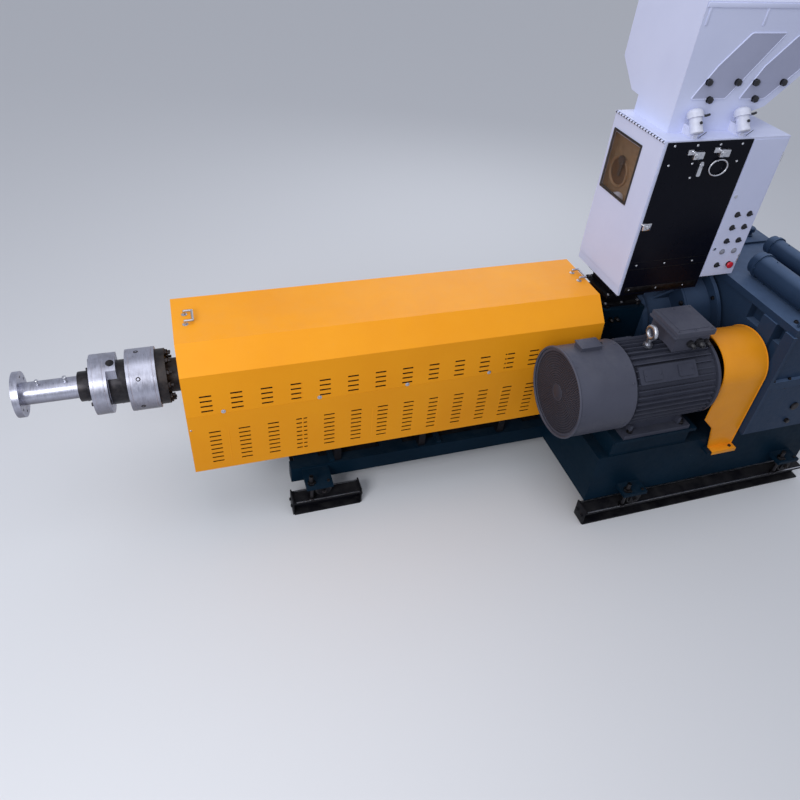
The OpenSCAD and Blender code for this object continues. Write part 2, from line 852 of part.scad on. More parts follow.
module lifting_eye() {
    color(steel) framed() {
        translate([eye_x, motor_axis_y, axis_h + fin_r + skin]) {
            cylinder(r = 24, h = 14, $fn = 32);
            cylinder(r = 14, h = eye_neck_h, $fn = 32);
        }
        translate([eye_x, motor_axis_y, axis_h + fin_r + eye_neck_h + eye_r]) rotate([0, 90, 0])
            rotate_extrude($fn = 48) translate([eye_r, 0]) circle(r = eye_wire, $fn = 24);
    }
}

oil_l = 440;
oil_behind = [170, 430];    // axes behind the gearbox front
oil_far_y = [-230, -40];    // far ends
oil_r = [66, 54];
oil_foot_w = 40;
oil_foot_in = 60;

// Two round vessels that lie across the gearbox top
module oil_cylinders() {
    color(teal) framed() for (i = [0, 1]) {
        x = gearbox_x + oil_behind[i];
        far = oil_far_y[i];
        z = gearbox_top + oil_r[i] + 8;
        translate([x, far, z]) rotate([90, 0, 0]) cylinder(r = oil_r[i], h = oil_l);
        translate([x, far - 34, z]) rotate([90, 0, 0]) cylinder(r = oil_r[i] + 8, h = 16);
        block([x - oil_foot_w / 2, far - oil_l + oil_foot_in, gearbox_top],
              [x + oil_foot_w / 2, far - oil_foot_in, z]);
    }
}

// Feeder

feeder_top = feeder_z + feeder_h;
feeder_y = feeder_w / 2;
neck_w = 190;

module feeder_neck() {
    flange_w = neck_w + 50;
    flange_t = 16;
    color(black) framed() difference() {
        union() {
            block([feed_x - neck_w / 2, -neck_w / 2, throat_top],
                  [feed_x + neck_w / 2, neck_w / 2, feeder_z]);
            for (z = [throat_top, throat_top + 60, feeder_z - flange_t])
                block([feed_x - flange_w / 2, -flange_w / 2, z],
                      [feed_x + flange_w / 2, flange_w / 2, z + flange_t]);
        }
        block([feed_x - inlet_w / 2, -inlet_w / 2, throat_top - 1],
              [feed_x + inlet_w / 2, inlet_w / 2, feeder_z + 1]);
    }
}

door_frame = 30;
door_low = 50;         // door's lower edge above the body's underside
door_sill = 15;        // opening's lower edge above the door's

module feeder_body() {
    color(white) framed() difference() {
        block([feeder_x, -feeder_y, feeder_z], [feeder_x + feeder_l, feeder_y, feeder_top]);
        block([feeder_x + feeder_t, -feeder_y + feeder_t, feeder_z + feeder_t],
              [feeder_x + feeder_l - feeder_t, feeder_y - feeder_t, feeder_top - feeder_t]);
        // door opening in the left face
        block([feeder_x - 1, -feeder_y + door_frame, feeder_z + door_low + door_sill],
              [feeder_x + feeder_t + 1, feeder_y - door_frame, feeder_top - door_frame]);
        // outlet
        block([feed_x - inlet_w / 2, -inlet_w / 2, feeder_z - 1],
              [feed_x + inlet_w / 2, inlet_w / 2, feeder_z + feeder_t + 1]);
    }
}

panel_t = 6;
panel_lead = 12;       // white strip left of the front panel

module feeder_front_panel() {
    color(black) framed()
        block([feeder_x + panel_lead, -feeder_y - panel_t, feeder_z + panel_gap],
              [feeder_x + feeder_l - panel_gap, -feeder_y, feeder_top - 6]);
}

chamber_r = 150;
chamber_z = feeder_z + feeder_h / 2;

// The round mixing chamber behind the door, with its outlet chute
module mixing_chamber() {
    x1 = feeder_x + 164;
    x2 = feeder_x + feeder_l - feeder_t;
    color(amber) framed() difference() {
        union() {
            rod_x(x1, 0, chamber_z, chamber_r, x2 - x1);
            block([feed_x - inlet_w / 2 - 6, -inlet_w / 2 - 6, feeder_z + feeder_t],
                  [feed_x + inlet_w / 2 + 6, inlet_w / 2 + 6, chamber_z]);
        }
        rod_x(x1 - 1, 0, chamber_z, chamber_r - 4, x2 - x1 - 3);
        block([feed_x - inlet_w / 2, -inlet_w / 2, feeder_z],
              [feed_x + inlet_w / 2, inlet_w / 2, chamber_z]);
    }
}

door_t = 3;
hinge_r = 5;
window_low = 0.556;     // lower edge of the window, as a share of the door's height
window_high = 0.9;
window_near = 164;     // window in from the near edge
window_far = 39;       // window in from the far edge
hinge_x = feeder_x - hinge_r - skin;
hinge_z = feeder_top - hinge_r - 1;

module feeder_door() {
    height = hinge_z - 3 - feeder_z;
    x = feeder_x - door_gap - door_t;
    color(white) framed() {
        difference() {
            block([x, -feeder_y + door_gap, feeder_z + door_low],
                  [x + door_t, feeder_y - door_gap, hinge_z]);
            block([x - 1, -feeder_y + window_near, feeder_z + height * window_low],
                  [x + door_t + 1, feeder_y - window_far, feeder_z + height * window_high]);
        }
        translate([hinge_x, -feeder_y + door_gap, hinge_z]) rotate([-90, 0, 0])
            cylinder(r = hinge_r, h = feeder_w - 2 * door_gap, $fn = 24);
    }
}

module door_window() {
    height = hinge_z - 3 - feeder_z;
    lap = 12;
    x = feeder_x - door_gap - door_t;
    color(amber) framed()
        block([x - 4, -feeder_y + window_near - lap, feeder_z + height * window_low - lap],
              [x, feeder_y - window_far + lap, feeder_z + height * window_high + lap]);
}

module control_box() {
    x = feeder_x + feeder_l;
    color(white) framed()
        block([x, -feeder_y, control_z], [x + control_l, feeder_y, feeder_top]);
}

bin_x = feeder_x + 72;
bin_near = 112;
bin_far = 180;
bin_foot_h = 70;
bin_ledge = 66;        // step out at the far side above the foot
bin_flare = 200;       // flare towards the far side
bin_spread = 360;      // flare towards the drive

// Two slide gate cylinders stand at a slant before the bins
valve_xs = [feeder_x + 166, feeder_x + 435];
valve_r = 30;
valve_cap_r = 38;
valve_l = 90;
valve_tilt = 35;       // from upright, towards the bins
valve_y = -feeder_y + 16;

module valve_cylinders() {
    color(white) framed() for (x = valve_xs) {
        translate([x, valve_y, feeder_top + 26]) rotate([-valve_tilt, 0, 0]) {
            cylinder(r = valve_r, h = valve_l);
            translate([0, 0, valve_l - 22]) cylinder(r = valve_cap_r, h = 22);
        }
        block([x - 12, valve_y, feeder_top], [x + 12, -bin_near, feeder_top + 44]);
    }
}

// The bins stand on the body, step and flare out at the far side, and widen towards the drive
module hopper_bins() {
    top = feeder_top + bin_h;
    foot = feeder_top + bin_foot_h;
    end = feeder_x + feeder_l;
    front = [[bin_x, feeder_top], [end, feeder_top], [end, foot + 10], [end + 90, foot + 40],
             [end + bin_spread, foot + 300], [end + bin_spread, top], [bin_x, top]];
    side = [[-bin_near, feeder_top], [bin_far, feeder_top], [bin_far, foot + 15],
            [bin_far + bin_ledge, foot + 20], [bin_far + bin_flare, foot + 146],
            [bin_far + bin_flare, top], [-bin_near, top]];
    color(white) framed() intersection() {
        translate([0, bin_far + bin_flare, 0]) rotate([90, 0, 0])
            linear_extrude(bin_near + bin_far + bin_flare) polygon(front);
        translate([bin_x, 0, 0]) rotate([90, 0, 90]) linear_extrude(end + bin_spread - bin_x) polygon(side);
    }
}

base_frame();
motor_pedestal();
beam_rails();
beam_crossmembers();
floor_rails();
wheel_brackets();
wheels();
levelling_studs();
barrel();
heater_bands();
barrel_stands();
feed_throat();
hood_carrier();
hood_roof();
hood_upper_near();
hood_upper_far();
hood_lower_near();
hood_lower_far();
hood_end_front();
hood_end_rear();
hood_handles();
clamp_ring();
outer_clamp_ring();
adapter_pipe();
gearbox_lower();
gearbox_upper();
thrust_lantern();
input_coupling();
coupling_guard();
motor_body();
motor_end_shield();
fan_cowl();
fan_grille();
terminal_box();
terminal_lid();
lifting_eye();
oil_cylinders();
feeder_neck();
feeder_body();
feeder_front_panel();
mixing_chamber();
feeder_door();
door_window();
control_box();
valve_cylinders();
hopper_bins();
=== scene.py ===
import random
from math import cos, pi, radians, sin

import bmesh
import bpy
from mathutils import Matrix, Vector


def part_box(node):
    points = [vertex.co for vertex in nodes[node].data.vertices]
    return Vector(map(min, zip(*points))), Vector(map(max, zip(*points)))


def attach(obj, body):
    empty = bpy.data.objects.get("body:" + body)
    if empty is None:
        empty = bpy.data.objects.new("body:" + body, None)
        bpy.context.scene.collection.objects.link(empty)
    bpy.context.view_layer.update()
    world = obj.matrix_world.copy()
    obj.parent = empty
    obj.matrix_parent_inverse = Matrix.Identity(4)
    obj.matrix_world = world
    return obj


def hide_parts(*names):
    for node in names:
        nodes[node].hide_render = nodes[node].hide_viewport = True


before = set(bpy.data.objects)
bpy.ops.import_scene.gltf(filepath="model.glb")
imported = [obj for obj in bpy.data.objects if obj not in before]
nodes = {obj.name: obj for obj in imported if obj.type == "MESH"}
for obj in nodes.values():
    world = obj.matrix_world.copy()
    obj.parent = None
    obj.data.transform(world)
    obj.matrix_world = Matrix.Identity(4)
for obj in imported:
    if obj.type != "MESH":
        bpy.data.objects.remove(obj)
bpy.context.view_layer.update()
random.seed(11)

# Places are millimetres: x from the hood's front end, y from the screw axis, z above the floor.
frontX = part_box("hood_roof")[0].x
ringLow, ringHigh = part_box("clamp_ring")
screwY = (ringLow.y + ringHigh.y) / 2
screwZ = 850
up, down = (0, 0, 1), (0, 0, -1)
front, back = (-1, 0, 0), (1, 0, 0)
near, far = (0, -1, 0), (0, 1, 0)
print("frame loaded with", len(nodes), "nodes")


def spot(place):
    return Vector((frontX + place[0] / 1000, screwY + place[1] / 1000, place[2] / 1000))


def edges(node):
    # a node's lowest and highest corner in the machine's own millimetres
    low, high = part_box(node)
    shift = Vector((frontX, screwY, 0))
    return (low - shift) * 1000, (high - shift) * 1000


view = {
    "place": (122.04, -2821.14, 3079.09),
    "turn": (50.1579, -4.1172, -17.4159),
    "lens": 30.7013,
    "shift": (-0.0053, -0.02136),
}


def setCamera():
    data = bpy.data.cameras.new("shopCamera")
    data.lens = view["lens"]
    data.sensor_width = 36
    data.shift_x, data.shift_y = view["shift"]
    data.clip_end = 100
    camera = bpy.data.objects.new("shopCamera", data)
    camera.location = spot(view["place"])
    camera.rotation_euler = [radians(a) for a in view["turn"]]
    bpy.context.scene.collection.objects.link(camera)
    bpy.context.scene.camera = camera


setCamera()
print("camera set")


# steps that the finishes share; all their noise lies in the object's own space

def startFinish(name):
    material = bpy.data.materials.new(name)
    material.use_nodes = True
    tree = material.node_tree
    return material, tree, tree.nodes["Principled BSDF"]


def setInputs(node, values):
    for socket, value in values.items():
        node.inputs[socket].default_value = value


def grain(tree, scale, detail=4, rough=0.55, stretch=(1, 1, 1)):
    coords = tree.nodes.new("ShaderNodeTexCoord")
    mapping = tree.nodes.new("ShaderNodeMapping")
    noise = tree.nodes.new("ShaderNodeTexNoise")
    setInputs(mapping, {"Scale": stretch})
    setInputs(noise, {"Scale": scale, "Detail": detail, "Roughness": rough})
    tree.links.new(coords.outputs["Object"], mapping.inputs["Vector"])
    tree.links.new(mapping.outputs["Vector"], noise.inputs["Vector"])
    return noise.outputs["Fac"]


def spread(tree, value, low, high, fromLow=0.3, fromHigh=0.7):
    node = tree.nodes.new("ShaderNodeMapRange")
    tree.links.new(value, node.inputs["Value"])
    setInputs(node, {"From Min": fromLow, "From Max": fromHigh, "To Min": low, "To Max": high})
    return node.outputs["Result"]


def mask(tree, value, fromLow=0.3, fromHigh=0.7):
    return spread(tree, value, 0.0, 1.0, fromLow, fromHigh)


def blendColour(tree, amount, first, second):
    node = tree.nodes.new("ShaderNodeMix")
    node.data_type = "RGBA"
    amountSocket, firstSocket, secondSocket = (node.inputs[k] for k in (0, 6, 7))
    tree.links.new(amount, amountSocket)
    for socket, value in ((firstSocket, first), (secondSocket, second)):
        if isinstance(value, bpy.types.NodeSocket):
            tree.links.new(value, socket)
        else:
            socket.default_value = (*value, 1)
    return node.outputs[2]


def combine(tree, first, second, operation="MULTIPLY"):
    node = tree.nodes.new("ShaderNodeMath")
    node.operation = operation
    tree.links.new(first, node.inputs[0])
    if isinstance(second, float):
        node.inputs[1].default_value = second
    else:
        tree.links.new(second, node.inputs[1])
    return node.outputs[0]


def layer(tree, below, cover, amount, colour):
    # lays a colour over the one below, where the cover's mask lets it show
    return blendColour(tree, combine(tree, cover, amount), below, colour)


def dress(tree, shader, colour, rough, height, strength, depth):
    # leads a finish's colour, roughness and relief to its shader
    bump = tree.nodes.new("ShaderNodeBump")
    setInputs(bump, {"Strength": strength, "Distance": depth})
    tree.links.new(height, bump.inputs["Height"])
    for socket, value in (("Base Color", colour), ("Roughness", rough), ("Normal", bump.outputs["Normal"])):
        tree.links.new(value, shader.inputs[socket])


def facing(tree, low, high):
    # from 0 where the surface's upward tilt is low to 1 where it is high
    geometry = tree.nodes.new("ShaderNodeNewGeometry")
    split = tree.nodes.new("ShaderNodeSeparateXYZ")
    tree.links.new(geometry.outputs["Normal"], split.inputs[0])
    return mask(tree, split.outputs["Z"], low, high)


stage = {
    "skyColour": (0.86, 0.90, 1.0),
    "skyStrength": 0.60,
    "floorSeen": (0.68, 0.69, 0.72),
    "floorBounce": (0.14, 0.14, 0.16),
    "floorHalf": 30,
    # place, aim, size, power and tint
    "sideLight": ((-3.5, -3.1, 3.5), (-0.2, 0, 0.9), 2.2, 118, (0.98, 0.99, 1)),
    "roofLight": ((-0.9, -0.6, 5.0), (0, 0, 1.0), 3.4, 45, (0.97, 0.98, 1)),
    "backLight": ((1.8, 3.8, 3.6), (0.4, 0, 0.9), 3.0, 40, (0.95, 0.97, 1)),
}


def addLamp(name):
    place, target, size, power, tint = stage[name]
    data = bpy.data.lights.new(name, "AREA")
    data.shape = "DISK"
    data.size = size
    data.energy = power
    data.color = tint
    lamp = bpy.data.objects.new(name, data)
    lamp.location = place
    lamp.rotation_euler = (Vector(target) - Vector(place)).to_track_quat("-Z", "Y").to_euler()
    bpy.context.scene.collection.objects.link(lamp)


def makeFloorPaint():
    # looks pale, and throws little light back under the machine
    paint, tree, shader = startFinish("paleFloor")
    rays = tree.nodes.new("ShaderNodeLightPath").outputs
    seen = combine(tree, rays["Is Camera Ray"], rays["Is Glossy Ray"], "MAXIMUM")
    seen = combine(tree, seen, rays["Is Transmission Ray"], "MAXIMUM")
    colour = blendColour(tree, seen, stage["floorBounce"], stage["floorSeen"])
    tree.links.new(colour, shader.inputs["Base Color"])
    shader.inputs["Roughness"].default_value = 0.75
    return paint


def setStage():
    scene = bpy.context.scene
    scene.view_settings.view_transform = "Standard"
    half = stage["floorHalf"]
    mesh = bpy.data.meshes.new("floor")
    corners = [(-half, -half, 0), (half, -half, 0), (half, half, 0), (-half, half, 0)]
    mesh.from_pydata(corners, [], [(0, 1, 2, 3)])
    mesh.materials.append(makeFloorPaint())
    floor = bpy.data.objects.new("floor", mesh)
    scene.collection.objects.link(floor)
    sky = bpy.data.worlds.new("shopSky")
    sky.use_nodes = True
    background = sky.node_tree.nodes["Background"]
    setInputs(background, {"Color": (*stage["skyColour"], 1), "Strength": stage["skyStrength"]})
    scene.world = sky
    for name in ("sideLight", "roofLight", "backLight"):
        addLamp(name)


setStage()
print("stage set")


def paintFinish(name, colour, shade, rough, dustAndSheen=0.15, dustAndSheenColour=(0.42, 0.41, 0.39), dustAndSheenFrom=0.4,
                smear=0.25, smearStretch=(1, 1, 3), chips=0.1, under=(0.3, 0.29, 0.28),
                peel=420, peelStrength=0.12, peelDepth=0.0006, gloss=0.25):
    material, tree, shader = startFinish(name)
    coat = blendColour(tree, mask(tree, grain(tree, 2.5, 5)), shade, colour)
    smears = mask(tree, grain(tree, 14, 8, 0.7, smearStretch), 0.52, 0.8)
    coat = layer(tree, coat, smears, smear, shade)
    # dust on upward faces; where its colour is paler than the paint it is a painted highlight of light from
    # above
    dustAndSheenMask = mask(tree, grain(tree, 9, 9, 0.75), dustAndSheenFrom, 0.75)
    coat = layer(tree, coat, combine(tree, facing(tree, 0.6, 1.0), dustAndSheenMask), dustAndSheen, dustAndSheenColour)
    chipped = mask(tree, grain(tree, 95, 3, 0.5), 0.74, 0.76)
    coat = layer(tree, coat, chipped, chips, under)
    worn = spread(tree, grain(tree, 30, 7, 0.7), rough - 0.06, rough + 0.1)
    dress(tree, shader, coat, worn, grain(tree, peel, 3), peelStrength, peelDepth)
    shader.inputs["Specular IOR Level"].default_value = gloss
    return material


def steelFinish(name, colour, shade, rough, marks=60, stretch=(1, 1, 1),
                stain=0.3, stainColour=(0.16, 0.13, 0.11), underShade=0.0):
    material, tree, shader = startFinish(name)
    cuts = grain(tree, marks, 5, 0.6, stretch)
    metal = blendColour(tree, mask(tree, cuts), shade, colour)
    metal = layer(tree, metal, mask(tree, grain(tree, 11, 7, 0.7), 0.45, 0.72), stain, stainColour)
    if underShade:                                  # painted shade: downward-facing surfaces darkened towards near-black
        metal = layer(tree, metal, facing(tree, 0.1, -0.85), underShade, (0.035, 0.022, 0.022))
    dress(tree, shader, metal, spread(tree, cuts, rough - 0.08, rough + 0.12), cuts, 0.2, 0.0002)
    shader.inputs["Metallic"].default_value = 1.0
    return material


def plasticFinish(name, colour, rough, speck=0.04):
    material, tree, shader = startFinish(name)
    shade = [c * (1 - speck * 4) for c in colour]
    speckled = blendColour(tree, mask(tree, grain(tree, 40, 6)), shade, colour)
    worn = spread(tree, grain(tree, 25, 5), rough - 0.05, rough + 0.08)
    dress(tree, shader, speckled, worn, grain(tree, 700, 2), 0.08, 0.0003)
    return material


def glassFinish(name, colour, shade):
    material, tree, shader = startFinish(name)
    haze = blendColour(tree, mask(tree, grain(tree, 6, 4)), shade, colour)
    tree.links.new(haze, shader.inputs["Base Color"])
    tree.links.new(spread(tree, grain(tree, 18, 5), 0.04, 0.14), shader.inputs["Roughness"])
    shader.inputs["Alpha"].default_value = 0.2
    return material


# each finish: its name, colour, shade and roughness, and what else it has
finishes = {
    "orange": paintFinish(
        "orangePowderCoat", (0.92, 0.362, 0.011), (0.87, 0.325, 0.009), 0.42,
        dustAndSheen=0.05, smear=0.16, smearStretch=(3, 3, 1), chips=0.12, gloss=0.22),
    "guardOrange": paintFinish(
        "guardOrangePaint", (0.90, 0.345, 0.011), (0.76, 0.275, 0.010), 0.36, dustAndSheen=0.03, gloss=0.3),
    # a darker copy of the gearbox's teal: painted shade on the frame, beam, stands and throat
    "teal": paintFinish(
        "shadedTealEnamel", (0.004, 0.017, 0.034), (0.002, 0.010, 0.021), 0.46,
        dustAndSheen=0.03, chips=0.35, under=(0.10, 0.12, 0.14), peel=260, peelStrength=0.2, gloss=0.05),
    # the pale blue over its upward faces is a painted highlight, not dust
    "castTeal": paintFinish(
        "castTealEnamel", (0.024, 0.046, 0.092), (0.016, 0.032, 0.066), 0.42,
        dustAndSheen=0.9, dustAndSheenColour=(0.092, 0.142, 0.245), dustAndSheenFrom=-0.6,
        peel=150, peelStrength=0.45, peelDepth=0.0012, gloss=0.12),
    "blackPaint": paintFinish(
        "blackPaint", (0.007, 0.007, 0.010), (0.003, 0.003, 0.005), 0.42,
        dustAndSheen=0.06, chips=0.5, under=(0.20, 0.19, 0.18), gloss=0.12),
    "panelBlack": paintFinish(
        "blackPanelPaint", (0.004, 0.0045, 0.010), (0.002, 0.0025, 0.006), 0.30,
        dustAndSheen=0.02, smear=0.6, chips=0.03, gloss=0.10),
    "motorGrey": paintFinish(
        "motorGreyEnamel", (0.082, 0.086, 0.118), (0.058, 0.061, 0.086), 0.45,
        dustAndSheen=0.07, peel=190, peelStrength=0.3, peelDepth=0.0008, gloss=0.2),
    # a darker copy of the motor's grey enamel: painted shade on the finned body, end shield and pads
    "motorDark": paintFinish(
        "shadedMotorEnamel", (0.056, 0.060, 0.086), (0.036, 0.039, 0.058), 0.45,
        dustAndSheen=0.05, peel=190, peelStrength=0.3, peelDepth=0.0008, gloss=0.15),
    "grilleGrey": paintFinish(
        "grilleGreyPaint", (0.050, 0.050, 0.067), (0.034, 0.033, 0.046), 0.5, dustAndSheen=0.05, gloss=0.15),
    "white": paintFinish(
        "offWhitePowderCoat", (0.67, 0.71, 0.93), (0.61, 0.65, 0.87), 0.38,
        dustAndSheen=0.03, smear=0.10, chips=0.04),
    # darker grey as painted shade of the recessed sloped panels on the bins
    "shadedCoverGrey": paintFinish(
        "coverShadeGreyPaint", (0.42, 0.44, 0.60), (0.35, 0.37, 0.51), 0.4, dustAndSheen=0.04),
    # darkens its downward-facing side as painted shade
    "satin": steelFinish(
        "satinSteel", (0.50, 0.51, 0.61), (0.38, 0.385, 0.46), 0.34,
        marks=26, stretch=(6, 1, 1), stain=0.4, stainColour=(0.12, 0.10, 0.105), underShade=0.9),
    "barrel": steelFinish("nitridedSteel", (0.050, 0.048, 0.052), (0.024, 0.023, 0.026), 0.5),
    "zinc": steelFinish("zincPlate", (0.60, 0.61, 0.66), (0.42, 0.43, 0.48), 0.36, marks=120),
    "bright": steelFinish("brightPlate", (0.78, 0.79, 0.83), (0.58, 0.59, 0.64), 0.26, stain=0.15),
    "darkSteel": steelFinish("blackenedSteel", (0.050, 0.048, 0.053), (0.022, 0.021, 0.025), 0.42, stain=0.2),
    "mica": steelFinish(
        "heaterSheet", (0.50, 0.47, 0.42), (0.30, 0.27, 0.23), 0.4, stretch=(1, 6, 6), stain=0.5),
    "stainless": steelFinish(
        "stainlessSheet", (0.52, 0.52, 0.55), (0.40, 0.40, 0.43), 0.3, marks=12, stretch=(1, 1, 40)),
    "rubber": plasticFinish("blackRubber", (0.012, 0.012, 0.014), 0.6),
    "blackPlastic": plasticFinish("blackPlastic", (0.014, 0.014, 0.018), 0.38),
    "whitePlastic": plasticFinish("whitePlastic", (0.70, 0.72, 0.86), 0.3),
    "greyPlastic": plasticFinish("greyPlastic", (0.26, 0.27, 0.33), 0.35),
    "redPlastic": plasticFinish("redPlastic", (0.62, 0.02, 0.04), 0.3),
    "panTan": plasticFinish("amberLining", (0.42, 0.27, 0.155), 0.5, 0.08),
    "panRim": plasticFinish("amberRim", (0.40, 0.24, 0.13), 0.45, 0.05),
    # a darker copy of the pan's amber, as painted shade in the hollow
    "panShadeBrown": plasticFinish("amberPaintedShade", (0.10, 0.040, 0.012), 0.5, 0.08),
    "window": glassFinish("smokedWindow", (0.15, 0.080, 0.036), (0.10, 0.050, 0.020)),
}
print("finishes ready:", len(finishes))


# mesh steps, in millimetres

def skin(bm, one, two):
    # walls between two rings of corners
    count = len(one)
    for i in range(count):
        bm.faces.new((one[i], one[(i + 1) % count], two[(i + 1) % count], two[i]))


def closeEnds(bm, rings):
    bm.faces.new(rings[0][::-1])
    bm.faces.new(rings[-1])


def newRing(bm, middle, side, other, radius, sides, spin=0.0):
    angles = [2 * pi * i / sides + spin for i in range(sides)]
    return [bm.verts.new(spot(middle + (side * cos(a) + other * sin(a)) * radius)) for a in angles]


def turn(bm, place, way, profile, sides=24, spin=0.0):
    # revolves (distance, radius) steps round an axis, with flat ends
    axis = Vector(way).normalized()
    side = axis.orthogonal().normalized() if abs(axis.z) > 0.9 else axis.cross(Vector(up)).normalized()
    rings = [newRing(bm, Vector(place) + axis * step, side, axis.cross(side), max(radius, 0.01), sides, spin)
             for step, radius in profile]
    for one, two in zip(rings, rings[1:]):
        skin(bm, one, two)
    closeEnds(bm, rings)


def block(bm, low, high, chamfer=0.0):
    made = bmesh.ops.create_cube(bm, size=1)["verts"]
    lowSpot, highSpot = spot(low), spot(high)
    for v in made:
        v.co = Vector([lowSpot[k] if v.co[k] < 0 else highSpot[k] for k in range(3)])
    if chamfer:
        rim = list({e for v in made for e in v.link_edges})
        bmesh.ops.bevel(bm, geom=rim, offset=chamfer / 1000, segments=2, profile=0.5, affect="EDGES")


def slab(bm, corners, way, thick):
    # a flat plate with any outline, thickened along way
    push = Vector(way).normalized() * thick
    one = [bm.verts.new(spot(Vector(c))) for c in corners]
    two = [bm.verts.new(spot(Vector(c) + push)) for c in corners]
    closeEnds(bm, (one, two))
    skin(bm, one, two)


def rounded(corners, radius, steps=5):
    # rounds the corners of a flat outline
    out = []
    count = len(corners)
    for i in range(count):
        before, here, after = (Vector(corners[(i + k) % count]) for k in (-1, 0, 1))
        start = here + (before - here).normalized() * radius
        end = here + (after - here).normalized() * radius
        for s in range(steps + 1):
            t = s / steps
            out.append(start * (1 - t) ** 2 + here * 2 * t * (1 - t) + end * t ** 2)
    return out


def bend(bm, points, radius, sides=10, closed=False):
    # a round bar along points
    path = [Vector(p) for p in points]
    count = len(path)
    rings = []
    side = None
    for i, p in enumerate(path):
        before = path[i - 1] if i or closed else p
        after = path[(i + 1) % count] if i < count - 1 or closed else p
        way = (after - before).normalized()
        if side is None:
            side = way.orthogonal().normalized()
        side = (side - way * side.dot(way)).normalized()
        rings.append(newRing(bm, p, side, way.cross(side), radius, sides))
    for one, two in zip(rings, rings[1:]):
        skin(bm, one, two)
    if closed:
        skin(bm, rings[-1], rings[0])
    else:
        closeEnds(bm, rings)


def hexBolt(bm, place, way, size, washer=True, stub=0.0):
    # a hexagon head of a metric size, on its washer, and the end of its thread
    base = 0.0
    if washer:
        wide = size * 1.05
        turn(bm, place, way, [(0, wide), (size * 0.16, wide), (size * 0.2, size)], 20)
        base = size * 0.2
    across = size * 0.98
    head = [(base, across), (base + size * 0.55, across), (base + size * 0.68, across * 0.84)]
    turn(bm, place, way, head, 6, random.random() * 6)
    if stub:
        start, r = base + size * 0.6, size * 0.5
        turn(bm, place, way, [(start, r), (start + stub, r), (base + size * 0.66 + stub, size * 0.4)], 12)


def socketScrew(bm, place, way, size):
    # a round head with a hexagon hollow
    r = size * 0.8
    head = [(0, r), (size * 0.85, r), (size, r * 0.9)]
    hollow = [(size, r * 0.52), (size * 0.35, r * 0.5), (size * 0.34, 0)]
    turn(bm, place, way, head + hollow, 18)


def panScrew(bm, place, way, size):
    r = size * 0.95
    head = [(0, r), (size * 0.2, r), (size * 0.5, r * 0.72)]
    slot = [(size * 0.6, r * 0.35), (size * 0.42, r * 0.3), (size * 0.4, 0)]
    turn(bm, place, way, head + slot, 14)


def around(centre, radius, count, start=0.0):
    # places round a circle in the plane across the screw axis
    for i in range(count):
        a = radians(start + 360 * i / count)
        yield (centre[0], centre[1] + radius * cos(a), centre[2] + radius * sin(a))


def spoke(angle):
    # the ways outward and sideways at an angle round the screw axis, in degrees
    a = radians(angle)
    return Vector((0, cos(a), sin(a))), Vector((0, -sin(a), cos(a)))


pieces = []


def newPiece(name, finish, slotName, body="machine", stands=None):
    # starts a piece's mesh; stands is the CAD node that the piece is shown for
    bm = bmesh.new()
    pieces.append((name, bm, finish, slotName, body, stands))
    return bm


def buildPieces():
    for name, bm, finish, slotName, body, stands in pieces:
        bmesh.ops.recalc_face_normals(bm, faces=bm.faces)
        for e in bm.edges:
            e.smooth = not (len(e.link_faces) == 2 and e.calc_face_angle() > radians(38))
        for f in bm.faces:
            f.smooth = True
        mesh = bpy.data.meshes.new(name)
        bm.to_mesh(mesh)
        bm.free()
        mesh.materials.append(finishes[finish])
        piece = bpy.data.objects.new(name, mesh)
        bpy.context.scene.collection.objects.link(piece)
        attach(piece, body)
        if stands:
            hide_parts(stands)


# the CAD nodes of each finish, and those of each softness of edge in millimetres
nodeFinish = {
    "teal": "base_frame motor_pedestal beam_rails beam_crossmembers barrel_stands feed_throat",
    "castTeal": "gearbox_lower gearbox_upper thrust_lantern oil_cylinders",
    "blackPaint": "floor_rails wheel_brackets hood_carrier feeder_neck",
    "panelBlack": "feeder_front_panel",
    "rubber": "wheels",
    "zinc": "hood_handles lifting_eye",
    "darkSteel": "levelling_studs",
    "barrel": "barrel input_coupling",
    "mica": "heater_bands",
    "orange": "hood_roof hood_upper_near hood_upper_far hood_lower_near hood_lower_far hood_end_front "
              "hood_end_rear",
    "guardOrange": "coupling_guard",
    "satin": "clamp_ring outer_clamp_ring adapter_pipe",
    "motorDark": "motor_body motor_end_shield",
    "motorGrey": "fan_cowl terminal_box terminal_lid",
    "grilleGrey": "fan_grille",
    "white": "feeder_body feeder_door control_box hopper_bins",
    "whitePlastic": "valve_cylinders",
    "stainless": "mixing_chamber",
    "window": "door_window",
}
edgeSoftness = {
    1: "feeder_door coupling_guard hood_roof",
    1.2: "fan_cowl",
    1.5: "floor_rails feeder_front_panel wheel_brackets",
    2: "feeder_body hopper_bins feeder_neck barrel",
    2.5: "adapter_pipe control_box",
    3: "motor_pedestal beam_crossmembers clamp_ring outer_clamp_ring terminal_box valve_cylinders wheels "
       "input_coupling",
    4: "base_frame beam_rails thrust_lantern feed_throat terminal_lid motor_end_shield",
    5: "gearbox_lower oil_cylinders",
    6: "gearbox_upper",
}


def dressNodes():
    for finish, names in nodeFinish.items():
        for name in names.split():
            mesh = nodes[name].data
            mesh.materials.clear()
            mesh.materials.append(finishes[finish])
    for width, names in edgeSoftness.items():
        for name in names.split():
            soft = nodes[name].modifiers.new("softEdges", "BEVEL")
            soft.width = width / 1000
            soft.segments = 2
            soft.limit_method = "ANGLE"
            soft.angle_limit = radians(40)
            soft.use_clamp_overlap = True
            soft.harden_normals = True


dressNodes()
print("CAD nodes dressed")


hood = {"roof": 1170, "fasteners": (173, 638, 1095, 1552, 2010), "fastenerAt": (312.7, 837),
        "fastenerSize": 11, "rivet": (12, 311.8, 742), "handleFeet": (59, 2154), "gripHalf": 41.5,
        "stiffeners": [186 + i * 366 for i in range(6)],
        "stiffenerLine": ((305, 470), (308, 700), (303, 830), (288, 1050)),
        "sheetEnds": (40, 2160), "sheets": (((309, 500), (312, 812)), ((312, 838), (299, 1050)))}


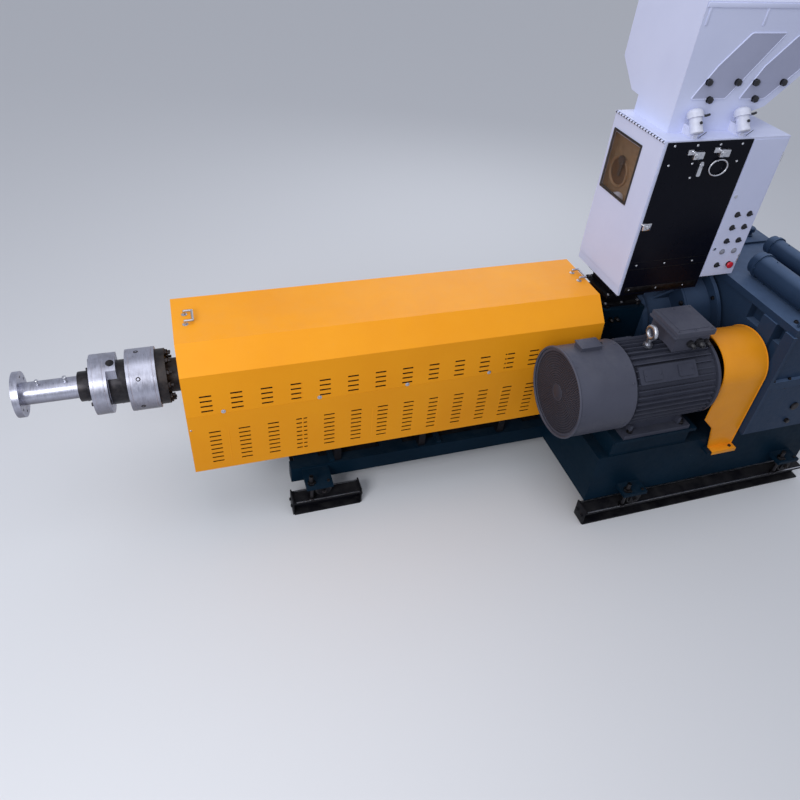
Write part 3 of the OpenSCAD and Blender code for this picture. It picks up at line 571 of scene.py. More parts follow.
def makeHoodTrim():
    bm = newPiece("hoodFasteners", "zinc", "zinc_steel")
    r = hood["fastenerSize"]
    y, z = hood["fastenerAt"]
    head = [(0, r), (1.4, r), (2.2, r * 0.82), (2.2, r * 0.6), (4.2, r * 0.5), (4.8, r * 0.2)]
    for x in hood["fasteners"]:
        for side in (-1, 1):
            place = Vector((x, side * y, z))
            turn(bm, place, (0, side, 0.06), head, 20)
            low = place + Vector((-r * 0.45, side * 4, -1.1))
            block(bm, low, low + Vector((r * 0.9, side * 1.8, 2.2)), 0.3)
    x, y, z = hood["rivet"]
    for side in (-1, 1):
        panScrew(bm, (x, side * y, z), (0, side, 0), 5)
    bm = newPiece("handleFeet", "zinc", "zinc_steel")
    for x in hood["handleFeet"]:
        for side in (-1, 1):
            y, z = side * hood["gripHalf"], hood["roof"]
            turn(bm, (x, y, z), up, [(0, 14), (1.6, 14), (2.4, 12.5)], 24)
            for dx in (-9.5, 9.5):
                panScrew(bm, (x + dx, y, z + 2.2), up, 3)
    bm = newPiece("hoodStiffeners", "orange", "hood_orange")
    for x in hood["stiffeners"]:
        for side in (-1, 1):
            bend(bm, [(x, side * y, z) for y, z in hood["stiffenerLine"]], 5, 6)
    bm = newPiece("slotShadeSheets", "blackPaint", "black_paint")  # painted shade: dark sheets behind the slots for the dark inside of the hood
    x0, x1 = hood["sheetEnds"]
    for side in (-1, 1):
        for low, high in hood["sheets"]:
            corners = [(x, side * (y - 7), z) for x, (y, z) in ((x0, low), (x1, low), (x1, high), (x0, high))]
            slab(bm, corners, (0, -side, 0), 3)


dieEnd = {"flangeFace": -63, "studCircle": 118, "studs": 12, "studSize": 15, "collarFace": -405,
          "ringMiddle": -190, "ringRadius": 153, "ringHoles": 6, "bossScrew": (-308, -33, 994),
          "bossLean": 13,
          "landEdges": ((-243, 1, 153), (-108, -1, 153), (-405, 1, 148), (-330, -1, 148)),
          "heaters": ((-471, -405, 70), (-330, -243, 104)), "probes": ((-520, 11), (-640, 9))}


def makeDieEnd():
    z = screwZ
    bm = newPiece("flangeStuds", "darkSteel", "barrel_steel")
    for place in around((dieEnd["flangeFace"], 0, z), dieEnd["studCircle"], dieEnd["studs"], 15):
        hexBolt(bm, place, back, dieEnd["studSize"], stub=14)
    for place in around((dieEnd["collarFace"], 0, z), dieEnd["studCircle"], 8, 12):
        socketScrew(bm, place, front, 12)
    bm = newPiece("ringScrews", "darkSteel", "barrel_steel")
    for k in range(dieEnd["ringHoles"]):       # plugged holes round the clamp ring
        way = spoke(142 - 60 * k)[0]
        place = Vector((dieEnd["ringMiddle"], 0, z)) + way * (dieEnd["ringRadius"] - 3)
        turn(bm, place, way, [(0, 11), (3.6, 11), (4.2, 10), (4.2, 6), (1, 5.6), (0.9, 0)], 18)
    way = spoke(90 + dieEnd["bossLean"])[0]    # a larger plug in the outer ring's flat
    plug = [(0, 19), (5, 19), (5.6, 18), (5.6, 16.5), (4.4, 16), (4.3, 0)]
    turn(bm, Vector(dieEnd["bossScrew"]) - way * 4, way, plug, 22)
    bm = newPiece("ringLands", "satin", "turned_steel")
    for x, inward, r in dieEnd["landEdges"]:
        land = [(0, r + 0.15), (0.8, r + 0.9), (3.2, r + 0.9), (4, r + 0.15)]
        turn(bm, (x + inward * 13, 0, z), (inward, 0, 0), land, 72)
    bm = newPiece("neckHeaters", "darkSteel", "barrel_steel")  # bands round the neck and the pipe's collar
    for x0, x1, r in dieEnd["heaters"]:
        long = x1 - x0
        start = [(2, r), (2.4, r + 2.6), (6, r + 3.4)]
        turn(bm, (x0, 0, z), back, start + [(long - step, wide) for step, wide in start[::-1]], 64)
        socketScrew(bm, (x0 + long / 2, -r * 0.5, z - r * 0.86), (0, -0.5, -0.86), 6)
    bm = newPiece("pipeProbes", "zinc", "bright_steel")
    lean = (0, -0.2, 1)
    for x, r in dieEnd["probes"]:
        turn(bm, (x, -10, z + 52), lean, [(0, r), (7, r), (7.2, r * 0.6), (20, r * 0.6)], 6)
        turn(bm, (x, -14, z + 71), lean, [(0, r * 0.9), (12, r * 0.9), (15, r * 0.5)], 16)


bands = {"first": 130, "count": 6, "length": 230, "pitch": 323.33, "radius": 112, "clamp": 18}


def makeBandClamps():
    bm = newPiece("bandClamps", "zinc", "heater_mica")
    r, wide = bands["radius"], bands["clamp"]
    top = screwZ + r
    strap = [(0, r + 0.1), (0.1, r + 1.6), (wide - 0.1, r + 1.6), (wide, r + 0.1)]
    for i in range(bands["count"]):
        start = bands["first"] + i * bands["pitch"]
        for x in (start + 12, start + bands["length"] - 30):
            turn(bm, (x, 0, screwZ), back, strap, 64)
            block(bm, (x - 1, -13, top), (x + wide + 1, 13, top + 12), 1)
            socketScrew(bm, (x + wide / 2, 13, top + 6), far, 7)
        block(bm, (start + 85, -22, top + 0.5), (start + 145, 22, top + 34), 2)


running = {"axles": ((2377, -777), (2377, 344), (3467, -777), (3467, 344), (657, -288), (657, 288)),
           "axleZ": 142, "wheelHalf": 17, "lugTop": 216, "lugBolts": (-52, 26),
           "rails": ((2070, 3625, -757), (2070, 3625, 324), (485, 865, -288), (485, 865, 288)),
           "stops": ((2070, -1, -757), (2070, -1, 324), (485, -1, -288), (865, 1, -288), (485, -1, 288),
                     (865, 1, 288)),
           "stopTop": 116}


def makeWheelTrim():
    bm = newPiece("axleNuts", "darkSteel", "zinc_steel")
    z, half = running["axleZ"], running["wheelHalf"]
    for x, y in running["axles"]:
        for side in (-1, 1):
            hexBolt(bm, (x, y + side * (half + 10), z), (0, side, 0), 13, True, 5)
    bm = newPiece("wheelFaces", "darkSteel", "wheel_black")
    disc = [(-1, 40), (0.6, 40), (0.7, 33), (-0.4, 32), (-0.4, 26), (0.7, 25), (0.7, 10)]
    for x, y in running["axles"]:
        for side in (-1, 1):
            turn(bm, (x, y + side * half, z), (0, side, 0), disc, 40)
    bm = newPiece("railStops", "blackPaint", "black_paint")
    for x, way, y in running["stops"]:
        outer = x + way * 8
        block(bm, (min(x, outer), y - 46, 4), (max(x, outer), y + 46, running["stopTop"]), 1.5)
        for dy in (-24, 24):
            hexBolt(bm, (outer, y + dy, 60), (way, 0, 0), 10)
    bm = newPiece("railEdgeHighlights", "zinc", "black_paint")  # painted highlights: bright strips along the edges of the rails' tops
    for start, end, y in running["rails"]:
        for dy in (-42, 42):
            block(bm, (start + 14, y + dy - 3.5, 95.4), (end - 4, y + dy + 3.5, 97.2), 0.6)
    bm = newPiece("lugBolts", "darkSteel", "zinc_steel")
    for x, y in running["axles"]:
        boltY = y - 26 if y < 0 else y + 26
        for dx in running["lugBolts"]:
            hexBolt(bm, (x + dx, boltY, running["lugTop"]), up, 9)


beams = {"sheets": ((502, 524), (666, 1029), (1171, 1814), (1956, 2082)), "sheetHalf": 133,
         "sheetZ": (214, 219)}


def makeBeamSheets():
    bm = newPiece("beamSheets", "blackPaint", "black_paint")
    half = beams["sheetHalf"]
    low, high = beams["sheetZ"]
    for x0, x1 in beams["sheets"]:
        block(bm, (x0, -half, low), (x1, half, high), 1)
        for y in (15 - half, half - 15):
            for x in (x0 + 8, x1 - 8):
                panScrew(bm, (x, y, high), up, 4)


welds = {"lugStarts": (2275, 3365), "lugEdges": (-735, 302), "lugZ": 217, "frontLug": (559, 701, 202),
         "endPlate": (2084, 228, 140, 196),
         "shelf": (((2152, -724, 472), (2640, -724, 472), 4), ((2152, -372, 472), (2640, -372, 472), 4),
                   ((2790, -735, 386), (2988, -735, 386), 3))}


def makeWelds():
    bm = newPiece("weldBeads", "teal", "teal_paint")

    def bead(start, end, radius=4):
        one, two = Vector(start), Vector(end)
        count = max(2, int((two - one).length / 14))
        path = [one.lerp(two, i / count) + Vector([random.uniform(-0.7, 0.7) for _ in range(3)])
                for i in range(count + 1)]
        bend(bm, path, radius, 6)

    z = welds["lugZ"]
    for x in welds["lugStarts"]:
        for y in welds["lugEdges"]:
            bead((x + 4, y, z), (x + 146, y, z))
    x0, x1, lugY = welds["frontLug"]
    x, plateZ, y0, y1 = welds["endPlate"]
    for side in (-1, 1):
        bead((x0, side * lugY, z), (x1, side * lugY, z))
        bead((x, side * y0, plateZ), (x, side * y1, plateZ))
    for start, end, radius in welds["shelf"]:
        bead(start, end, radius)


motor = {"y": -556, "z": 850, "cowlFront": 1822, "cowlEnd": 2140, "cowlRadius": 238, "bodyEnd": 2645,
         "holePitch": 12.5, "hubRadius": 42, "grilleRadius": 229, "blades": 9, "bladeRadius": 205,
         "padTilts": (47, 133), "padScrews": (2206, 2290, 2410, 2480), "footBolts": (2235, 2560),
         # each pad: its ends, half width, and the radii of its foot and face
         "pads": ((2172, 2512, 46, 196, 228), (2196, 2300, 30, 226, 233), (2400, 2490, 30, 226, 233)),
         "footRibs": ((2235, 2540), (60, 168), (628, 672))}


def makeCowl():
    y, z, r = motor["y"], motor["z"], motor["cowlRadius"]
    start, end = motor["cowlFront"], motor["cowlEnd"]
    bm = newPiece("cowlRims", "motorGrey", "motor_grey")
    bend(bm, around((start + 3, y, z), r - 1.5, 96), 6.5, 12, True)
    bend(bm, around((end - 1, y, z), r - 1.5, 96), 3, 8, True)
    bm = newPiece("cowlScrews", "motorGrey", "motor_grey")
    for x, angle, size in ((end - 16, 20, 8), (start + 22, 50, 5)):
        for place in around((x, y, z), r, 6, angle):
            panScrew(bm, place, (0, place[1] - y, place[2] - z), size)


def makeFanGrille():
    # rings of cells, each with a round-cornered hole
    y, z = motor["y"], motor["z"]
    x = motor["cowlFront"] + 9
    pitch, hub, rimRadius = motor["holePitch"], motor["hubRadius"], motor["cowlRadius"] - 4
    rows = int((motor["grilleRadius"] - hub) / pitch)
    edge = hub + rows * pitch
    bm = newPiece("fanGuard", "grilleGrey", "grille_grey", stands="fan_grille")

    def corner(radius, angle, depth=0.0):
        return bm.verts.new(spot((x + depth, y + radius * cos(angle), z + radius * sin(angle))))

    for row in range(rows):
        middle = hub + (row + 0.5) * pitch
        count = max(20, int(2 * pi * middle / pitch))
        half = pi / count
        for i in range(count):
            angle = (2 * i + 1) * half
            rim, hole, deep = [], [], []
            for u, v in ((-1, -1), (0, -1), (1, -1), (1, 0), (1, 1), (0, 1), (-1, 1), (-1, 0)):
                shrink = 0.70 if u * v == 0 else 0.52
                inner = middle + v * pitch / 2 * shrink
                rim.append(corner(middle + v * pitch / 2 * 1.01, angle + u * half))
                hole.append(corner(inner, angle + u * half * shrink))
                deep.append(corner(inner, angle + u * half * shrink, 2.5))
            skin(bm, rim, hole)
            skin(bm, hole, deep)
    turn(bm, (x - 1, y, z), back, [(0, hub + 4), (0.01, 0)], 48)
    turn(bm, (x - 4, y, z), back, [(0, 6), (0, 30), (1.5, 34), (4, 36), (6, hub)], 48)
    bm = newPiece("fanGuardRings", "motorGrey", "grille_grey")
    for radius in (hub + 2, edge + 1):
        bend(bm, around((x - 0.8, y, z), radius, 72), 1.3, 6, True)
    flat = ((0, edge - 1), (0, rimRadius), (2.5, rimRadius), (2.5, edge - 1))
    loops = [[bm.verts.new(spot(p)) for p in around((x + dx, y, z), r, 96)] for dx, r in flat]
    for one, two in zip(loops, loops[1:] + loops[:1]):
        skin(bm, one, two)
    bm = newPiece("coolingFan", "blackPlastic", "grille_grey")
    middle, wide, tip = Vector((x + 40, y, z)), Vector((70, 0, 0)), motor["bladeRadius"]
    for k in range(motor["blades"]):
        out, side = spoke(360 * k / motor["blades"])
        root, end = middle + out * 38, middle + out * tip
        slab(bm, [root, end, end + wide, root + wide], side, 5)
    turn(bm, (x + 34, y, z), back, [(0, 12), (0, 34), (6, 40), (82, 40), (90, 30)], 32)
    turn(bm, (x + 108, y, z), back, [(0, tip), (6, tip), (8, 60)], 48)


def makeMotorTrim():
    y, z = motor["y"], motor["z"]
    middle = Vector((0, y, z))
    bm = newPiece("motorPads", "motorDark", "motor_grey")
    for tilt in motor["padTilts"]:             # smooth pads on both sides, between the fins
        out, along = spoke(180 - tilt)
        for x0, x1, half, low, high in motor["pads"]:
            corners = [middle + out * low + Vector((x, 0, 0)) - along * s * half
                       for x, s in ((x0, -1), (x1, -1), (x1, 1), (x0, 1))]
            slab(bm, rounded(corners, 8, 3), out, high - low)
    ribs, (inner, outer), (low, high) = motor["footRibs"]
    for y0, y1 in ((y - outer, y - inner), (y + inner, y + outer)):
        for x in ribs:
            block(bm, (x - 9, y0, low), (x + 9, y1, high), 2)
    for x, rim in ((motor["bodyEnd"] - 3, [(0, 224), (14, 226), (20, 221), (22, 208)]),
                   (motor["cowlEnd"] - 2, [(0, 222), (16, 224), (22, 219), (22, 200)])):
        turn(bm, (x, y, z), back, rim, 96)
    bm = newPiece("motorBolts", "darkSteel", "zinc_steel")
    for place in around((motor["bodyEnd"] + 18, y, z), 190, 8, 22):
        hexBolt(bm, place, back, 11)
    for x in motor["footBolts"]:
        for side in (-1, 1):
            hexBolt(bm, (x, y + side * 160, 626), up, 16, True, 10)
    bm = newPiece("padScrews", "motorDark", "motor_grey")
    for tilt in motor["padTilts"]:
        out = spoke(180 - tilt)[0]
        for x in motor["padScrews"]:
            panScrew(bm, middle + Vector((x, 0, 0)) + out * 233, out, 5)


terminal = {"glands": ((2492, 15), (2548, 19), (2590, 12)), "glandZ": 1112, "fanGland": (2025, -512, 1098),
            "lidScrewIn": 16, "ridgeIn": 26, "fanLid": ((1908, -550, 1108), (2029, -474, 1113)),
            "fanLidScrews": ((1922, 2015), (-538, -486))}


def makeTerminalTrim():
    low, high = edges("terminal_lid")
    boxLow, boxHigh = edges("terminal_box")
    inset, (fanXs, fanYs) = terminal["lidScrewIn"], terminal["fanLidScrews"]
    bm = newPiece("lidScrews", "motorGrey", "motor_grey")
    for x in (low.x + inset, (low.x + high.x) / 2, high.x - inset):
        for y in (low.y + inset, high.y - inset):
            socketScrew(bm, (x, y, high.z - 4), up, 8)
    for x in fanXs:
        for y in fanYs:
            panScrew(bm, (x, y, 1112), up, 4)
    bm = newPiece("cableGlands", "blackPlastic", "wheel_black")
    block(bm, (boxLow.x + 3, boxLow.y + 3, boxHigh.z - 3), (boxHigh.x - 3, boxHigh.y - 3, boxHigh.z + 1.5))
    y, z = boxLow.y, terminal["glandZ"]
    for x, r in terminal["glands"]:
        turn(bm, (x, y, z), near, [(0, r * 1.25), (5, r * 1.25), (5.1, r)], 20)
        turn(bm, (x, y - 5, z), near, [(0, r * 1.3), (12, r * 1.3), (13, r * 1.2)], 6)
        dome = [(0, r), (10, r), (18, r * 0.8), (24, r * 0.62), (26, r * 0.6), (26, r * 0.3), (20, r * 0.3)]
        turn(bm, (x, y - 18, z), near, dome, 20)
    turn(bm, terminal["fanGland"], back, [(0, 11), (6, 11), (6.2, 8.5), (18, 8.5), (22, 6)], 18)
    bm = newPiece("lidPlates", "motorGrey", "motor_grey")
    block(bm, *terminal["fanLid"], 1.4)

    def plate(x0, y0, x1, y1, z, corner, thick):
        slab(bm, rounded([(x0, y0, z), (x1, y0, z), (x1, y1, z), (x0, y1, z)], corner), up, thick)

    inset = terminal["ridgeIn"]
    plate(low.x + inset, low.y + inset, high.x - inset, high.y - inset, high.z - 0.2, 12, 3)
    plate(low.x - 12, low.y - 2, high.x + 2, high.y + 2, low.z - 8, 8, 7.4)


guard = {"front": 2697, "rear": 2982, "y": -556, "archZ": 882, "radius": 188, "foot": 400, "baseTop": 470,
         "cutTop": 640, "cutMiddle": (2775, 562), "footFront": 2817, "bolt": 2950, "farBolts": (2760, 2930)}


def makeGuardTrim():
    r = guard["radius"] + 0.5
    nearY, farY = guard["y"] - r, guard["y"] + r
    foot, baseTop, footFront = guard["foot"], guard["baseTop"], guard["footFront"]
    arch = [(guard["y"] - r * cos(pi * k / 28), guard["archZ"] + r * sin(pi * k / 28)) for k in range(29)]
    middleX, middleZ = guard["cutMiddle"]
    bm = newPiece("guardHems", "guardOrange", "guard_orange")
    x = guard["front"] + 4
    leg = [(footFront + 3, nearY, foot + 4), (middleX + 3, nearY, middleZ + 2)]
    leg += [(x, nearY, guard["cutTop"] + 4)]
    bend(bm, leg + [(x, *p) for p in arch] + [(x, farY, baseTop + 3)], 3.2, 8)
    x = guard["rear"] - 4
    bend(bm, [(x, nearY, foot + 4)] + [(x, *p) for p in arch] + [(x, farY, baseTop + 3)], 3.2, 8)
    # feet: the near one laps the shelf and folds down over its edge
    block(bm, (footFront, nearY - 44, foot), (guard["rear"], nearY + 1, foot + 4), 0.8)
    block(bm, (footFront, nearY - 44, foot - 20), (guard["rear"], nearY - 41, foot + 3), 0.8)
    block(bm, (guard["front"] + 6, farY - 1, baseTop), (guard["rear"] - 6, farY + 30, baseTop + 4), 0.8)
    bm = newPiece("guardBolts", "darkSteel", "zinc_steel")
    hexBolt(bm, (guard["bolt"], nearY - 20, foot + 4), up, 9)
    for x in guard["farBolts"]:
        hexBolt(bm, (x, farY + 15, baseTop + 4), up, 9)


gear = {"front": 2990, "rear": 3590, "near": -780, "far": 270, "split": 850, "flange": 26, "top": 1215,
        "base": 470, "shafts": ((0, 150, 8), (-556, 105, 6)), "hatch": ((3330, 80), (3540, 240)),
        "lugs": ((3046, -740), (3534, -740), (3046, 230)), "breather": (3440, 160), "ribs": (-450, -150, 150),
        "sightGlass": 3300, "drain": 530, "sightZ": 640, "farGlass": 3400}


def makeGearboxTrim():
    x0, x1, y0, y1, top = gear["front"], gear["rear"], gear["near"], gear["far"], gear["top"]
    bm = newPiece("gearboxBolts", "darkSteel", "teal_paint")
    xs = [x0 + 36 + k * (x1 - x0 - 72) / 5 for k in range(6)]
    ys = [y0 + 36 + k * (y1 - y0 - 72) / 9 for k in range(10)]
    rim = [(x, y0 + 12) for x in xs] + [(x, y1 - 12) for x in xs]
    rim += [(x0 + 12, y) for y in ys if y > -549 or -715 < y < -650]   # leaves room for the guard
    rim += [(x1 - 12, y) for y in ys]
    for x, y in rim:
        hexBolt(bm, (x, y, gear["split"] + gear["flange"]), up, 9, True, 6)
        hexBolt(bm, (x, y, gear["split"] - gear["flange"]), down, 9, False, 8)
    for x in (x0 + 60, x1 - 60):
        for y in (-700, -80, 200):
            hexBolt(bm, (x, y, top), up, 12)
    for y, r, count in gear["shafts"]:
        for place in around((x1 + 12, y, screwZ), r - 18, count, 20):
            hexBolt(bm, place, back, 10)
    bm = newPiece("gearboxCastings", "castTeal", "teal_paint")
    for y, r, count in gear["shafts"]:         # bearing covers at the rear
        cover = [(0, r + 16), (22, r + 14), (24, r), (34, r - 2), (35, r * 0.5), (31, r * 0.48), (31, 0)]
        turn(bm, (x1 - 22, y, screwZ), back, cover, 48)
    turn(bm, (x0 + 22, motor["y"], screwZ), front, [(0, 108), (20, 106), (22, 98), (26, 60)], 48)
    low, high = gear["hatch"]
    block(bm, (*low, top), (*high, top + 14), 3)
    for x, y in gear["lugs"]:                  # lifting lugs
        angles = [pi * k / 12 for k in range(13)]
        bend(bm, [(x + 20 * cos(a), y, top + 6 + 26 * sin(a)) for a in angles], 8, 10)
    cap = [(0, 24), (8, 24), (9, 16), (30, 16), (31, 27), (52, 27), (58, 18)]
    turn(bm, (*gear["breather"], top + 14), up, cap, 24)
    for y in gear["ribs"]:                     # stiffening ribs on the rear face
        block(bm, (x1 - 24, y, gear["base"] + 32), (x1 - 4, y + 26, gear["split"] - 28), 3)
    bm = newPiece("oilFittings", "darkSteel", "bright_steel")
    glass = [(0, 26), (8, 26), (9, 20), (10, 20), (10, 14)]
    x, drain = gear["sightGlass"], gear["drain"]
    turn(bm, (x, y0 + 22, gear["sightZ"]), near, glass, 24)
    turn(bm, (x, y0 + 22, drain), near, [(0, 15), (6, 15)], 24)
    turn(bm, (x, y0 + 16, drain), near, [(0, 14), (10, 14), (11, 12)], 6)
    turn(bm, (gear["farGlass"], y1 - 22, gear["sightZ"]), far, glass, 24)


# each bolt ring: its place, radius, count, first angle, way and size
lantern = {"boltRings": ((2780, 262, 12, 15, front, 14), (2950, 320, 12, 15, front, 12),
                         (2594, 183, 8, 22, back, 9)),
           "throatScrews": (2330, 2530), "face": 2781, "ribFoot": 2660, "ribRadii": (166, 232), "ribs": 8,
           "nipples": (2350, 2390)}


def makeLanternTrim():
    bm = newPiece("lanternBolts", "darkSteel", "teal_paint")
    for x, r, count, angle, way, size in lantern["boltRings"]:
        for place in around((x, 0, screwZ), r, count, angle):
            hexBolt(bm, place, way, size)
    for y in (-120, 120):
        for x in lantern["throatScrews"]:
            socketScrew(bm, (x, y, 1020), up, 14)
    bm = newPiece("lanternRibs", "castTeal", "teal_paint")
    turn(bm, (2794, 0, screwZ), back, [(0, 291.5), (0.5, 293), (11, 293), (12, 291.5)], 96)
    face, foot = Vector((lantern["face"], 0, screwZ)), Vector((lantern["ribFoot"], 0, screwZ))
    inner, outer = lantern["ribRadii"]
    for k in range(lantern["ribs"]):           # ribs from the neck to the large flange
        out, side = spoke(22.5 + 45 * k)
        corners = [face + out * inner, face + out * outer, foot + out * inner]
        slab(bm, [c - side * 7 for c in corners], side, 14)
    bm = newPiece("waterNipples", "darkSteel", "bright_steel")
    for side in (-1, 1):                       # cooling water nipples
        for x in lantern["nipples"]:
            turn(bm, (x, side * 150, 960), (0, side, 0), [(0, 13), (9, 13)], 6)
            barb = [(0, 8), (8, 8), (9, 10), (12, 8), (16, 10), (19, 8), (26, 7)]
            turn(bm, (x, side * 159, 960), (0, side, 0), barb, 18)


vessels = {"places": ((3160, -230, 66), (3420, -40, 54)), "length": 440}


def makeOilVessels():
    bm = newPiece("vesselTrim", "castTeal", "teal_paint")
    base = gear["top"] + 3
    for x, y, r in vessels["places"]:
        z = gear["top"] + r + 8
        end = [(0, r - 1), (5, r - 4), (9, r * 0.7), (11, 0)]
        turn(bm, (x, y, z), far, end, 40)
        turn(bm, (x, y - vessels["length"], z), near, end, 40)
        for k in range(8):
            a = 2 * pi * k / 8
            hexBolt(bm, (x + (r + 1) * cos(a), y - 50, z + (r + 1) * sin(a)), near, 6, False)
        strap = [(x - 30, base), (x - 34, z), (x, z + r + 2), (x + 34, z), (x + 30, base)]
        bend(bm, [(sx, y - 120, sz) for sx, sz in strap], 4, 6)


feeder = {"left": 2294, "panelLeft": 2306, "panelRight": 2790, "half": 217, "low": 1165, "top": 2005,
          "panel": -223, "seam": 1345, "stiffener": ((2325, 1180), (2778, 1215)),
          "screws": ((2344, 1984), (2474, 1982), (2605, 1981), (2733, 1979), (2343, 1890), (2737, 1893),
                     (2476, 1893), (2491, 1821), (2348, 1348), (2522, 1346), (2699, 1343), (2350, 1197),
                     (2521, 1194), (2696, 1191)),
          "farScrews": ((2350, 1960), (2740, 1960), (2350, 1600), (2740, 1600), (2350, 1230), (2740, 1230)),
          "farCover": (2314, 2775, 1200, 1975), "latches": ((2472, 1925), (2620, 1930)),
          "doorLatch": (2330, 1576), "window": ((-64, 1619), (189, 1619), (189, 1928), (-64, 1928)),
          "windowPane": -4.5, "knuckles": 18, "knucklePitch": 24.2}


def makeFeederPanel():
    y, farY, seam = feeder["panel"], feeder["half"], feeder["seam"]
    x0, x1 = feeder["panelLeft"] + 4, feeder["panelRight"]
    bm = newPiece("panelScrews", "bright", "zinc_steel")
    for x, z in feeder["screws"]:
        panScrew(bm, (x, y, z), near, 6.5)
    for x, z in feeder["farScrews"]:
        panScrew(bm, (x, farY + 3, z), far, 6)
    bm = newPiece("panelSeams", "darkSteel", "black_paint")
    block(bm, (x0, y - 1.6, seam + 22), (x1, y, seam + 24), 0.4)
    block(bm, (x0, y - 2.2, seam - 21), (x1, y, seam - 18.5), 0.4)
    (x0, low), (x1, high) = feeder["stiffener"]
    block(bm, (x0, y - 2, low), (x1, y, high), 0.8)
    bm = newPiece("farCover", "white", "white_paint")  # screwed cover on the far side
    x0, x1, low, high = feeder["farCover"]
    outline = [(x0, farY, low), (x1, farY, low), (x1, farY, high), (x0, farY, high)]
    slab(bm, rounded(outline, 8, 3), far, 3)
    bm = newPiece("toggleLatches", "bright", "bright_steel")
    for x, z in feeder["latches"]:             # toggle latch: body, lever and pivot
        block(bm, (x - 46, y - 9, z + 14), (x - 16, y, z + 40), 2)
        block(bm, (x - 20, y - 26, z - 4), (x + 38, y, z + 34), 5)
        turn(bm, (x - 4, y - 24, z + 16), near, [(0, 12), (8, 12), (10, 9)], 24)
        bend(bm, [(x - 44, y - 8, z + 30), (x - 28, y - 20, z + 30), (x - 6, y - 24, z + 24)], 3, 8)
    x, z = feeder["latches"][0]                # bar that hangs from the first
    bar = [(x + 43, y, z - 96), (x + 67, y, z - 96), (x + 65, y, z - 22), (x + 45, y, z - 22)]
    slab(bm, rounded(bar, 9, 4), near, 9)
    turn(bm, (x + 55, y - 9, z - 38), near, [(0, 9), (5, 9), (7, 6)], 20)
    x, z = feeder["latches"][1]                # pull loop that hangs from the second
    angles = [2 * pi * k / 40 for k in range(40)]
    loop = [(x + 12 + 49 * cos(a), y - 8 - 4 * sin(a + 1), z - 62 + 41 * sin(a)) for a in angles]
    bend(bm, loop, 4.2, 10, True)
    x, z = feeder["doorLatch"]
    block(bm, (x - 24, y - 12, z - 20), (x + 22, y, z + 20), 4)
    turn(bm, (x, y - 12, z), near, [(0, 12), (7, 12), (9, 8)], 20)
    bend(bm, [(x - 30, y + 2, z + 14), (x - 24, y - 10, z + 10), (x - 4, y - 15, z + 2)], 3.4, 8)


def makeDoorTrim():
    left, top = feeder["left"], feeder["top"]
    bm = newPiece("windowSeal", "rubber", "black_paint", "door")
    x = left + feeder["windowPane"]
    bend(bm, rounded([(x - 3.6, y, z) for y, z in feeder["window"]], 7, 4), 1.5, 6, True)
    outer = [(x - 0.9, y, z) for y, z in feeder["window"]]
    inner = [(px, y + (13 if y < 0 else -13), z + (13 if z < 1800 else -13)) for px, y, z in outer]
    for k in range(4):                         # flat seal behind the pane's rim
        n = (k + 1) % 4
        slab(bm, [outer[k], outer[n], inner[n], inner[k]], back, 0.7)
    bm = newPiece("hingeGapShades", "darkSteel", "stainless")
    for k in range(feeder["knuckles"]):        # dark bands: painted shade in the gaps between the knuckles of the piano hinge
        y = -209 + k * feeder["knucklePitch"]
        turn(bm, (left - 5.3, y, top - 6), far, [(0, 5.1), (0.3, 5.6), (8.7, 5.6), (9, 5.1)], 18)
    bm = newPiece("bodyFolds", "white", "white_paint")
    block(bm, (left - 1, -212, top), (left + 16, 212, top + 1.6), 0.4)
    for y in (-214.8, 214.8):                  # folded edges of the body beside the door
        block(bm, (left - 0.8, y - 1.6, feeder["low"] + 6), (left + 3, y + 1.6, top - 14), 0.5)


mixer = {"z": 1585, "shaft": (2470, 300, 16), "paddles": (2490, 2560, 2630, 2700), "firstPaddle": 40,
         "paddleTurn": 47, "mouth": (2458, 157), "pan": 2342, "panLow": (-74, 1600), "panHigh": (208, 1950),
         "hollow": (128, 1716), "knob": (104, 1786), "heap": (2322, 62)}


